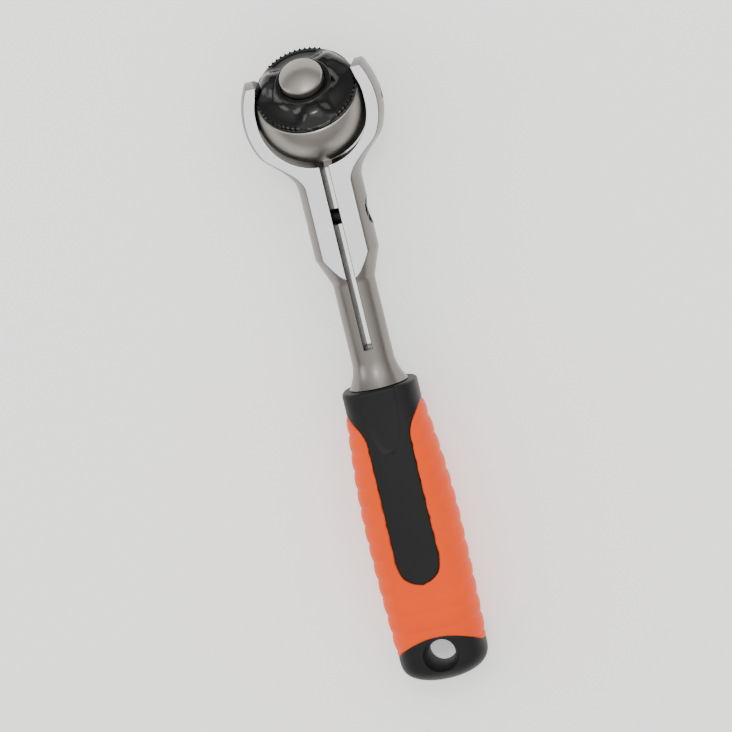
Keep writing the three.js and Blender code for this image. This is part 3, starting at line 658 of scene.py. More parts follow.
class Yoke:
    """The plated yoke: two slit halves and the round shank behind them."""

    ARC_POINTS = 36
    FLAT_POINTS = 10
    WALL_POINTS = 40
    EDGE_POINTS = 4
    CURVE_STEPS = 60
    TURN_STEPS = 40
    FLARE_STEPS = 24
    BAR_STEPS = 6
    # Stations round the nose and the root of the socket, and steps along the other runs.
    NOSE_STEPS, NOSE_START, ROOT_STEPS = 10, 0.12, 70
    ARM_STEP, NECK_STEP, BLOCK_STEP, CONE_STEP, SHANK_STEP = 0.4, 0.3, 0.8, 0.25, 1.5
    # How far a fine run carries past a turn of the shape, and the gaps between runs.
    CARRY, GAP, ARM_GAP, NECK_GAP = 1.0, 0.5, 0.3, 0.2
    TABLE_STEP = 0.05
    # Points of a section's arc, wall and flats before they are spread evenly.
    FINE_ARC, FINE_WALL, FINE_FLAT = 200, 400, 60
    # Most of a side that one rounded corner takes.
    CORNER_SHARE = 0.4
    # Half height that is left at the tips, and the sliver that is left beside the slit.
    TIP_LEAST, SLIT_LEAST = 0.1, 0.02
    # Material indexes of the walls' darker chrome and of the near-black inside, both painted shade.
    WALL_INDEX, DULL_INDEX = 1, 2

    def __init__(self, sizes: YokeSizes = YokeSizes()) -> None:
        self.sizes = sizes
        self._at, self._radius = self._outer_profile()

    def _outer_profile(self) -> tuple[np.ndarray, np.ndarray]:
        """Tabulates the outer radius along the tool, with its breaks eased."""
        s = self.sizes
        arm = np.linspace(-s.tip, s.setback, self.CURVE_STEPS)
        table = [(u, s.radius * math.sqrt(1 - ((u - s.setback) / s.reach) ** 2)) for u in arm]
        turns = np.linspace(math.pi / 2, s.shoulder, self.TURN_STEPS)[1:]
        table += [(s.setback + s.radius * math.cos(a), s.radius * math.sin(a)) for a in turns]
        start = np.array(table[-1])
        lean = s.neck_ease * (s.neck - start[0])
        neck = [start, start + [lean, -lean / math.tan(s.shoulder)],
                np.array([s.neck - 2 * lean, s.block]), np.array([s.neck, s.block])]
        for t in np.linspace(0, 1, self.CURVE_STEPS)[1:]:
            w = [(1 - t) ** 3, 3 * t * (1 - t) ** 2, 3 * t * t * (1 - t), t ** 3]
            table.append(tuple(sum(k * p for k, p in zip(w, neck))))
        table += [(s.block_end, s.block), (s.cone_end, s.shank), (s.shank_end, s.shank)]
        middle = (s.shank_end + s.flare_end) / 2
        for t in np.linspace(0, 1, self.FLARE_STEPS)[1:]:
            table.append((bend(t, s.shank_end, middle, s.flare_end), bend(t, s.shank, s.shank, s.flare)))
        at = np.arange(-s.tip, s.flare_end, self.TABLE_STEP)
        radius = np.interp(at, *np.array(table).T)
        return at, running_mean(radius, int(2 * s.blend / self.TABLE_STEP) | 1)

    def outer(self, u: float) -> float:
        """Outer radius at a distance behind the pivot."""
        return float(np.interp(u, self._at, self._radius))

    def inner(self, u: float) -> float:
        """Radius of the socket at a distance behind the pivot."""
        s = self.sizes
        if u >= s.setback:
            return math.sqrt(max(0.0, s.socket ** 2 - (u - s.setback) ** 2))
        if u >= 0:
            return s.socket
        hug_end = -s.socket * math.sin(s.hug)
        if u >= hug_end:
            return math.sqrt(s.socket ** 2 - u ** 2)
        tip_radius = s.radius * math.sqrt(1 - ((s.tip + s.setback) / s.reach) ** 2) - s.tip_thickness
        share = (hug_end - u) / (hug_end + s.tip)
        return s.socket * math.cos(s.hug) * (1 - share) + tip_radius * share

    def height(self, u: float) -> float:
        """Half height of the flats, falling round the nose at the arm tips."""
        s = self.sizes
        nose = (s.flat ** 2 + s.nose ** 2) / (2 * s.nose)
        ahead = -u - s.tip + nose
        if ahead > 0 and u < s.nose - s.tip:
            return min(s.flat, math.sqrt(max(self.TIP_LEAST ** 2, nose ** 2 - ahead ** 2)))
        return s.flat

    def section(self, u: float) -> np.ndarray:
        """One half's outline at a station: outer arc, upper flat, inner wall and lower flat.

        Args:
            u: distance behind the pivot.

        Returns:
            Points (x, z) of a closed ring with rounded corners.
        """
        s = self.sizes
        outer, socket = self.outer(u), self.inner(u)
        high = min(self.height(u), math.sqrt(outer ** 2 - s.slit ** 2) - self.SLIT_LEAST)
        angle = math.asin(high / outer)
        arc = np.linspace(-angle, angle, self.FINE_ARC)
        z = np.linspace(high, -high, self.FINE_WALL)
        wall = np.maximum(s.slit, np.sqrt(np.maximum(0.0, socket ** 2 - z ** 2)))
        outside = np.column_stack((outer * np.cos(arc), outer * np.sin(arc)))
        inside = np.column_stack((wall, z))
        top = np.linspace(outside[-1], inside[0], self.FINE_FLAT)
        bottom = np.linspace(inside[-1], outside[0], self.FINE_FLAT)
        sides = [outside, top, inside, bottom]
        counts = [self.ARC_POINTS, self.FLAT_POINTS, self.WALL_POINTS, self.FLAT_POINTS]
        lengths = [walked(side) for side in sides]
        backs = [min(s.edge, self.CORNER_SHARE * lengths[k][-1],
                     self.CORNER_SHARE * lengths[(k + 1) % 4][-1]) for k in range(4)]
        ring: list[np.ndarray] = []
        for k, (side, length, count) in enumerate(zip(sides, lengths, counts)):
            stops = np.linspace(backs[k - 1], length[-1] - backs[k], count)
            ring += list(np.column_stack([np.interp(stops, length, side[:, i]) for i in (0, 1)]))
            after = sides[(k + 1) % 4]
            leave = np.array([np.interp(backs[k], lengths[(k + 1) % 4], after[:, i]) for i in (0, 1)])
            corner, enter = side[-1], ring[-1]
            ring += [bend(t, enter, corner, leave) for t in np.linspace(0, 1, self.EDGE_POINTS + 2)[1:-1]]
        return np.array(ring)

    def stations(self) -> np.ndarray:
        """Stations along a half, closer where its shape turns; each run starts clear of the one before."""
        s = self.sizes
        nose = -s.tip + s.nose * (1 - np.cos(np.linspace(self.NOSE_START, math.pi / 2, self.NOSE_STEPS)))
        root = s.setback + s.socket * np.cos(np.linspace(math.pi / 2, 0.0, self.ROOT_STEPS))
        arm = np.arange(s.nose - s.tip + self.ARM_GAP, s.setback, self.ARM_STEP)
        neck = np.arange(s.setback + s.socket + self.NECK_GAP, s.neck + self.CARRY, self.NECK_STEP)
        past = self.CARRY + self.GAP
        block = np.arange(s.neck + past, s.block_end - self.CARRY, self.BLOCK_STEP)
        cone = np.arange(s.block_end - self.CARRY, s.cone_end + past, self.CONE_STEP)
        shank = np.arange(s.cone_end + (past + self.GAP), s.slit_end - self.GAP, self.SHANK_STEP)
        return np.concatenate((nose, arm, root, neck, block, cone, shank, [s.slit_end]))

    def build(self, shop: Workshop) -> None:
        """Builds the yoke and hands it over.

        Args:
            shop: the workshop.
        """
        s = self.sizes
        rings = []
        for u in self.stations():
            outline = self.section(float(u))
            rings.append(np.column_stack((outline[:, 0], np.full(len(outline), -u), outline[:, 1])))
        half = loft(np.array(rings))
        pivot = drill(s.pivot_hole, -s.through, s.through).turned_to_x()
        steps = [(0, -s.through), (s.screw_hole, -s.through), (s.screw_hole, s.head_seat),
                 (s.head_hole, s.head_seat), (s.head_hole, s.through), (0, s.through)]
        screw = lathe(steps, BORE_SIDES).turned_to_x().moved((0, -s.screw_at, 0))
        parts = []
        for name, mesh in (("yoke_half_right", half), ("yoke_half_left", half.mirrored())):
            part = shop.raw(name, mesh, shop.frames.handle)
            shop.cut(part, [shop.raw("pivot_cut", pivot, shop.frames.handle),
                            shop.raw("screw_cut", screw, shop.frames.handle)])
            parts.append(part)
        ends = np.concatenate((np.linspace(s.slit_end, s.shank_end, self.BAR_STEPS),
                               np.linspace(s.shank_end, s.flare_end, self.TURN_STEPS)[1:]))
        outline = [(0.0, s.slit_end), *[(self.outer(u), u) for u in ends], (0.0, s.flare_end)]
        parts.append(shop.raw("shank", lathe(outline, FINE_SIDES).laid_back(), shop.frames.handle))
        yoke = shop.join(parts, "plated_yoke")
        shop.hand_over(yoke, Body.HANDLE, Finishes.CHROME, ("yoke_shank",))
        self.paint_wall_shade(shop, yoke)

    def paint_wall_shade(self, shop: Workshop, yoke: bpy.types.Object) -> None:
        """Leaves the ground flats bright and paints shade on the rest: darker chrome on the walls, near-black
        steel in the slit and socket.

        Args:
            shop: the workshop.
            yoke: the finished yoke.
        """
        s = self.sizes
        up = (shop.frames.handle.to_3x3() @ Vector((0, 0, 1))).normalized()
        back = shop.frames.handle.inverted()
        for finish in (Finishes.CHROME_SHADED, Finishes.STEEL_SHADED):
            yoke.data.materials.append(shop.finishes.get(finish))
        for face in yoke.data.polygons:
            place = back @ face.center
            on_flat = abs(place.z) > s.flat - s.edge and -place.y < s.cone_end
            if on_flat and abs(face.normal.dot(up)) > s.flat_lean:
                continue
            # Slit and socket faces take the near-black painted shade, other walls the darker chrome painted
            # shade.
            sawn = abs(place.x) < s.slit + s.edge / 2 and -place.y < s.slit_end + s.edge
            shaded = sawn or place.length < s.socket + s.edge
            face.material_index = self.DULL_INDEX if shaded else self.WALL_INDEX


@dataclass(frozen=True)
class PivotSizes:
    """Flex pins, their washers and the clamp screw."""

    pin: float = 2.5
    pin_inner: float = 13.82
    pin_outer: float = 21.49
    pin_edge: float = 0.35
    dimple: float = 0.9
    dimple_depth: float = 0.5
    washer_hole: float = 2.7
    washer: float = 4.9
    washer_seat: float = 16.02
    washer_dish: float = 0.94
    washer_thickness: float = 0.6
    washer_edge: float = 0.12
    screw: float = 2.5
    screw_end: float = -8.8
    head: float = 4.25
    head_seat: float = 4.2
    head_outer: float = 8.9
    hex_flats: float = 4.0
    head_edge: float = 0.3
    hex_depth: float = 2.6
    hex_point: float = 0.8
    hex_over: float = 1.0
    screw_at: float = 35.06


class Pivots:
    """The turned pieces that hold head and handle together."""

    SCREW_SIDES = 96

    def __init__(self, sizes: PivotSizes = PivotSizes()) -> None:
        self.sizes = sizes

    def build(self, shop: Workshop) -> None:
        """Builds pins, washers and clamp screw.

        Args:
            shop: the workshop.
        """
        s = self.sizes
        profile = [(0, s.pin_inner), (s.pin, s.pin_inner), (s.pin, s.pin_outer),
                   (s.dimple, s.pin_outer), (0, s.pin_outer - s.dimple_depth)]
        pin = lathe(rounded(profile, s.pin_edge), BORE_SIDES).turned_to_x()
        inner, outer = s.washer_seat, s.washer_seat + s.washer_thickness
        profile = [(s.washer_hole, inner + s.washer_dish), (s.washer, inner), (s.washer, outer),
                   (s.washer_hole, outer + s.washer_dish), (s.washer_hole, inner + s.washer_dish)]
        washer = lathe(rounded(profile, s.washer_edge, 2), BORE_SIDES).turned_to_x()
        for name, side in (("right", 1), ("left", -1)):
            for title, mesh, node, slot, finish in (
                    ("flex_pin", pin, "pivot_pin", "satin_steel", Finishes.SATIN_STEEL),
                    ("dished_washer", washer, "friction_washer", "spring_steel", Finishes.SPRING_STEEL)):
                shape = mesh if side > 0 else mesh.mirrored()
                obj = shop.raw(f"{title}_{name}", shape, shop.frames.handle)
                shop.hand_over(obj, Body.HANDLE, finish, (f"{node}_{name}",))
        self.build_screw(shop)

    def build_screw(self, shop: Workshop) -> None:
        """Builds the clamp screw with its hex socket.

        Args:
            shop: the workshop.
        """
        s = self.sizes
        profile = [(0, s.screw_end), (s.screw, s.screw_end), (s.screw, s.head_seat), (s.head, s.head_seat),
                   (s.head, s.head_outer), (0, s.head_outer)]
        body = lathe(rounded(profile, s.head_edge), self.SCREW_SIDES).turned_to_x().moved((0, -s.screw_at, 0))
        across = s.hex_flats / math.sqrt(3)
        low, high = s.head_outer - s.hex_depth, s.head_outer + s.hex_over
        hexagon = lathe([(0, low - s.hex_point), (across, low), (across, high), (0, high)], 6).turned_to_x()
        obj = shop.raw("clamp_bolt", body, shop.frames.handle)
        shop.cut(obj, [shop.raw("hex_cut", hexagon.moved((0, -s.screw_at, 0)), shop.frames.handle)])
        shop.hand_over(obj, Body.CLAMP, Finishes.BLACK_OXIDE, ("clamp_screw",))


@dataclass(frozen=True)
class HeadSizes:
    """Ball housing, button and detent ball in the head's frame."""

    ball: float = 17.42
    top: float = 7.0
    bottom: float = -15.2
    pocket: float = 13.0
    bore: float = 6.8
    cavity_floor: float = -6.3
    pin_bore: float = 2.7
    pin_depth: float = 13.52
    washer_bore: float = 5.2
    washer_floor: float = 15.72
    button: float = 6.8
    button_bottom: float = 11.1
    button_edge: float = 15.1
    button_top: float = 17.3
    plunger: float = 2.1
    plunger_socket: float = 12.5
    detent: float = 1.6
    detent_y: float = 3.7625
    detent_z: float = -20.8
    edge: float = 0.3
    button_round: float = 0.7
    dome_share: float = 0.93


class Head:
    """The ball with its quick-release button and detent ball."""

    BALL_SIDES, BALL_STEPS = 160, 90
    BEAD_SIDES, BEAD_STEPS = 48, 25
    DOME_STEPS, LIP_STEPS = 24, 7

    def __init__(self, sizes: HeadSizes = HeadSizes()) -> None:
        self.sizes = sizes

    def build(self, shop: Workshop) -> None:
        """Builds the head's own pieces.

        Args:
            shop: the workshop.
        """
        s = self.sizes
        low, high = math.acos(s.bottom / s.ball), math.acos(s.top / s.ball)
        arc = [(s.ball * math.sin(a), s.ball * math.cos(a)) for a in np.linspace(low, high, self.BALL_STEPS)]
        profile = [(s.bore, s.bottom + s.edge), (s.bore + s.edge, s.bottom), (arc[0][0] - s.edge, s.bottom),
                   *arc[1:-1], (arc[-1][0] - s.edge, s.top), (s.pocket, s.top), (s.pocket, s.cavity_floor),
                   (s.bore, s.cavity_floor), (s.bore, s.bottom + s.edge)]
        ball = shop.raw("ball", lathe(profile, self.BALL_SIDES), shop.frames.head)
        cutters = []
        for side in (1, -1):
            for name, radius, depth in (("pin_bore", s.pin_bore, s.pin_depth),
                                        ("washer_bore", s.washer_bore, s.washer_floor)):
                bore = drill(radius, depth, 2 * s.ball).turned_to_x()
                cutters.append(shop.raw(name, bore if side > 0 else bore.mirrored(), shop.frames.head))
        shop.cut(ball, cutters)
        shop.hand_over(ball, Body.HEAD, Finishes.SATIN_STEEL, ("head_housing",))
        self.build_button(shop)
        arcs = np.linspace(math.pi, 0, self.BEAD_STEPS)
        bead = lathe([(s.detent * math.sin(a), s.detent * math.cos(a)) for a in arcs], self.BEAD_SIDES)
        obj = shop.raw("detent_bead", bead.moved((0, s.detent_y, s.detent_z)), shop.frames.head)
        shop.hand_over(obj, Body.DETENT, Finishes.SPRING_STEEL, ("detent_ball",))

    def build_button(self, shop: Workshop) -> None:
        """Builds the domed release button.

        Args:
            shop: the workshop.
        """
        s = self.sizes
        rise = s.button_top - s.button_edge
        sphere = (s.button ** 2 + rise ** 2) / (2 * rise)
        edge = math.asin(s.button / sphere)
        dome = [(sphere * math.sin(a), s.button_top - sphere + sphere * math.cos(a))
                for a in np.linspace(edge * s.dome_share, 0, self.DOME_STEPS)]
        dome[-1] = (0.0, s.button_top)
        lip = [(bend(t, s.button, s.button, dome[0][0]),
                bend(t, s.button_edge - s.button_round, s.button_edge, dome[0][1]))
               for t in np.linspace(0, 1, self.LIP_STEPS)[:-1]]
        profile = [(0, s.plunger_socket), (s.plunger, s.plunger_socket), (s.plunger, s.button_bottom),
                   (s.button - s.edge, s.button_bottom), (s.button, s.button_bottom + s.edge), *lip, *dome]
        obj = shop.raw("button_cap", lathe(profile, FINE_SIDES), shop.frames.head)
        shop.hand_over(obj, Body.BUTTON, Finishes.SATIN_STEEL, ("release_button",))


@dataclass(frozen=True)
class SpringSizes:
    """The two springs that are pressed together when the tool is used, in the head's frame."""

    button_outer: float = 4.7
    button_wire: float = 0.7
    button_low: float = 5.5
    button_high: float = 10.8
    button_turns: int = 3
    button_travel: float = 2.5
    pawl_outer: float = 1.0
    pawl_wire: float = 0.25
    pawl_low: float = 11.6
    pawl_high: float = 14.4
    pawl_turns: int = 2
    pawl_lift: float = 1.343
    pawl_angle: float = math.radians(63.0)
    pawl_height: float = -3.0


class Springs:
    """Coil springs, each on its own mesh, riding on a CAD body."""

    WIRE_SIDES = 10
    STEPS_PER_TURN = 32

    def __init__(self, sizes: SpringSizes = SpringSizes()) -> None:
        self.sizes = sizes

    def coil(self, outer: float, wire: float, low: float, high: float, turns: int) -> Mesh:
        """Winds a round wire about Z.

        Args:
            outer: outer radius over the wire.
            wire: diameter of the wire.
            low: lower end over the wire.
            high: upper end over the wire.
            turns: number of turns.

        Returns:
            The wound mesh with closed ends.
        """
        radius, rise = outer - wire / 2, high - low - wire
        around = np.linspace(0, TAU, self.WIRE_SIDES, endpoint=False)
        rings = []
        for t in np.linspace(0, 1, turns * self.STEPS_PER_TURN + 1):
            turn = TAU * turns * t
            out = np.array([math.cos(turn), math.sin(turn), 0.0])
            along = np.array([-out[1], out[0], rise / (TAU * turns * radius)])
            across = np.cross(along / np.linalg.norm(along), out)
            centre = radius * out + np.array([0.0, 0.0, low + wire / 2 + rise * t])
            rings.append([centre + wire / 2 * (math.cos(a) * out + math.sin(a) * across) for a in around])
        return loft(np.array(rings))

    def build(self, shop: Workshop) -> None:
        """Builds both springs and puts each on its body.

        Args:
            shop: the workshop.
        """
        s = self.sizes
        head = shop.frames.head
        mesh = self.coil(s.button_outer, s.button_wire, s.button_low, s.button_high, s.button_turns)
        spring = shop.raw("button_coil", mesh, head)
        shop.hand_over(spring, Body.DIAL, Finishes.SPRING_STEEL, ("release_spring",))
        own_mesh(spring)
        mesh = self.coil(s.pawl_outer, s.pawl_wire, s.pawl_low, s.pawl_high, s.pawl_turns).turned_to_x()
        lying = head @ Matrix.Rotation(s.pawl_angle, 4, "Z") @ Matrix.Translation((0, 0, s.pawl_height))
        spring = shop.raw("pawl_coil", mesh, lying)
        shop.hand_over(spring, Body.HEAD, Finishes.SPRING_STEEL, ("pawl_spring_left",))
        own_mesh(spring)


@dataclass(frozen=True)
class DialSizes:
    """The reversing dial in the head's frame."""

    rim: float = 15.65
    root: float = 15.12
    bottom: float = 7.3
    bore: float = 7.0
    shoulder: float = 8.3
    sleeve_inner: float = 8.4
    sleeve_outer: float = 10.6
    sleeve_bottom: float = 5.3
    boss: float = 8.8
    boss_top: float = 12.5
    spokes: int = 3
    turn: float = math.radians(-80.0)
    spoke_half: float = 0.9
    spoke_blend: float = 5.4
    teeth: int = 60
    tooth: float = 0.85
    tooth_bottom: float = 7.75
    tooth_top: float = 9.1
    edge: float = 0.3
    foot_rise: float = 0.25
    tooth_gap: float = 0.2
    spoke_spread: float = 1.1
    sharp: float = math.radians(60.0)


class Dial:
    """The black dial: boss, three flowing spokes, recesses and a knurled rim."""

    AROUND, ROWS = 540, 44
    # Points (radius, height) along the crest of a spoke and along the middle of a recess.
    SPOKE_LINE = ((8.8, 12.35), (10.4, 12.42), (11.8, 12.1), (13.0, 11.35), (14.0, 10.35),
                  (14.8, 9.3), (15.4, 8.4))
    RECESS_LINE = ((8.8, 11.9), (9.5, 10.8), (10.5, 9.9), (12.0, 9.35), (13.4, 9.15),
                   (14.5, 9.15), (15.12, 8.9))
    # Set-backs (inward, downward) of the rounding round the boss.
    BOSS_EDGE = ((0.02, 0.35), (0.14, 0.12), (0.4, 0.0))
    # How late along its run a spoke steps out to the rim.
    STEP_OUT = 6
    EASE_POINTS, EASE_WIDTH = 200, 31

    def __init__(self, sizes: DialSizes = DialSizes()) -> None:
        self.sizes = sizes

    def spoke_share(self, radius: np.ndarray, angle: np.ndarray) -> np.ndarray:
        """How far a place belongs to a spoke, from 0 to 1.

        Args:
            radius: distances from the dial's axis.
            angle: angles round it.

        Returns:
            The share of spoke at each place.
        """
        s = self.sizes
        spacing = TAU / s.spokes
        off = np.abs((angle - s.turn + spacing / 2) % spacing - spacing / 2)
        across = radius * np.sin(np.minimum(off, math.pi / 2))
        spread = s.spoke_spread * ((radius - s.boss) / (s.rim - s.boss)) ** 2
        return 1.0 - smooth_step(0.0, 1.0, (across - s.spoke_half - spread) / s.spoke_blend)

    def build(self, shop: Workshop) -> None:
        """Builds the dial's body and its knurl.

        Args:
            shop: the workshop.
        """
        s = self.sizes
        angle = np.linspace(0, TAU, self.AROUND, endpoint=False)
        flat = np.ones_like(angle)
        rows: list[tuple[np.ndarray, np.ndarray]] = []
        for r, z in ((s.sleeve_inner, s.shoulder), (s.sleeve_inner, s.sleeve_bottom),
                     (s.sleeve_outer, s.sleeve_bottom), (s.sleeve_outer, s.bottom),
                     (s.rim - s.edge, s.bottom), (s.rim, s.bottom + s.foot_rise),
                     (s.rim, s.tooth_bottom - s.tooth_gap)):
            rows.append((r * flat, z * flat))
        rim = s.root + (s.rim - s.root) * self.spoke_share(s.rim * flat, angle)
        rows.append((rim, s.tooth_bottom * flat))
        spoke = np.array(self.SPOKE_LINE)
        recess = np.array(self.RECESS_LINE)
        for t in np.linspace(1, 0, self.ROWS):
            r = (s.boss + t * (recess[-1, 0] - s.boss)) * flat
            share = self.spoke_share(r, angle)
            outer = r + share * t ** self.STEP_OUT * (s.rim - s.root)
            high = self.eased(spoke, outer)
            low = self.eased(recess, r)
            rows.append((outer, low + share * (high - low)))
        top = s.boss_top
        for r, z in (*[(s.boss - inward, top - down) for inward, down in self.BOSS_EDGE],
                     (s.bore + s.edge, top), (s.bore, top - s.edge), (s.bore, s.shoulder)):
            rows.append((r * flat, z * flat))
        rings = np.array([np.column_stack((r * np.cos(angle), r * np.sin(angle), z)) for r, z in rows])
        body = loft(np.concatenate((rings, rings[:1])), capped=False)
        dial = shop.raw("dial_body", body, shop.frames.head)
        shop.hand_over(dial, Body.DIAL, Finishes.GLOSS_BLACK, ("reversing_dial",), s.sharp)
        shop.hand_over(self.knurl(shop), Body.DIAL, Finishes.GLOSS_BLACK)

    def eased(self, line: np.ndarray, radius: np.ndarray) -> np.ndarray:
        """Heights of a smooth curve through a line's points.

        Args:
            line: points (radius, height).
            radius: where to read it.

        Returns:
            The heights.
        """
        dense = np.linspace(line[0, 0], line[-1, 0], self.EASE_POINTS)
        height = np.interp(dense, line[:, 0], line[:, 1])
        return np.interp(radius, dense, running_mean(height, self.EASE_WIDTH))

    def knurl(self, shop: Workshop) -> bpy.types.Object:
        """Sets a tooth at every step round the rim, except on the spokes, by Geometry Nodes.

        Args:
            shop: the workshop.

        Returns:
            The knurl as a plain mesh.
        """
        s = self.sizes
        wanted = {
            "Teeth": ("NodeSocketInt", s.teeth),
            "Radius": ("NodeSocketFloat", (s.rim - s.tooth) * MM),
            "Tooth size": ("NodeSocketFloat", s.tooth * MM),
            "Tooth height": ("NodeSocketFloat", (s.tooth_top - s.tooth_bottom) * MM),
            "Spoke spacing": ("NodeSocketFloat", TAU / s.spokes),
            "Spoke turn": ("NodeSocketFloat", s.turn),
            "Clear angle": ("NodeSocketFloat", (s.spoke_half + s.spoke_blend) / s.rim),
            "Material": ("NodeSocketMaterial", shop.finishes.get(Finishes.GLOSS_BLACK)),
        }
        tree, given = open_tree("knurl", wanted)
        circle = add_node(tree, "GeometryNodeMeshCircle", {
            "Vertices": given["Teeth"], "Radius": given["Radius"]})
        where = add_node(tree, "GeometryNodeInputPosition").outputs["Position"]
        parts = add_node(tree, "ShaderNodeSeparateXYZ", {"Vector": where}).outputs
        angle = add_node(tree, MATH, {0: parts["Y"], 1: parts["X"]}, operation="ARCTAN2").outputs[0]
        turned = add_node(tree, MATH, {0: angle, 1: given["Spoke turn"]}, operation="SUBTRACT").outputs[0]
        half = add_node(tree, MATH, {0: given["Spoke spacing"], 1: 0.5}, operation="MULTIPLY").outputs[0]
        off = add_node(tree, MATH, {0: turned, 1: half}, operation="PINGPONG").outputs[0]
        clear = add_node(tree, MATH, {0: off, 1: given["Clear angle"]}, operation="GREATER_THAN").outputs[0]
        tooth = add_node(tree, "GeometryNodeMeshCylinder", {
            "Vertices": 3, "Radius": given["Tooth size"], "Depth": given["Tooth height"]})
        aim = add_node(tree, "ShaderNodeCombineXYZ", {"Z": angle}).outputs["Vector"]
        spin = add_node(tree, "FunctionNodeEulerToRotation", {"Euler": aim}).outputs["Rotation"]
        copies = add_node(tree, "GeometryNodeInstanceOnPoints", {
            "Points": circle.outputs["Mesh"], "Selection": clear,
            "Instance": tooth.outputs["Mesh"], "Rotation": spin})
        obj = placed("dial_knurl", bpy.data.meshes.new("dial_knurl"))
        close_tree(obj, tree, wanted, copies.outputs["Instances"], given["Material"])
        shop.flatten(obj)
        lift = (s.tooth_bottom + s.tooth_top) / 2
        turn = shop.frames.head @ Matrix.Translation((0, 0, lift)) @ Matrix.Scale(1 / MM, 4)
        obj.data.transform(turn)
        return obj


@dataclass(frozen=True)
class GripSizes:
    """The grip, measured from its mouth."""

    mouth: float = 88.66
    length: float = 94.3
    collar_width: float = 11.8
    collar_depth: float = 10.8
    collar_run: float = 6.0
    palm_width: float = 14.6
    palm_depth: float = 12.0
    palm_at: float = 46.0
    heel_width: float = 13.8
    heel_depth: float = 9.4
    heel_run: float = 8.8
    heel_blunt: float = 0.25
    wedge_run: float = 24.0
    lip: float = 1.0
    squareness: float = 2.7
    window: float = 7.0
    waist: float = 0.3
    window_end: float = 62.2
    tip_run: float = 7.0
    tip_lean: float = 1.44
    arch_top: float = 79.0
    arch: float = 21.2
    rib_pitch: float = 5.8
    rib_depth: float = 0.6
    rib_wrap: float = 0.5
    proud: float = 0.3
    facet_half: float = 5.6
    facet_run: float = 20.0
    facet_depth: float = 0.5
    bore: float = 5.7
    eye_from_end: float = 8.8
    eye: float = 4.2
    eye_mouth: float = 5.6
    eye_flare: float = 5.0
    eye_clear: float = 6.2
    cushion_start: float = 4.0
    cushion_end: float = 87.0
    bore_run: float = 72.0
    reach: float = 24.0
    groove: float = 0.25
    groove_run: float = 0.6
    under: float = 1.6
    under_run: float = 0.5
    facet_blend: float = 0.8
    lip_run: float = 0.9
    tuck: float = 1.4
    tuck_run: float = 0.6


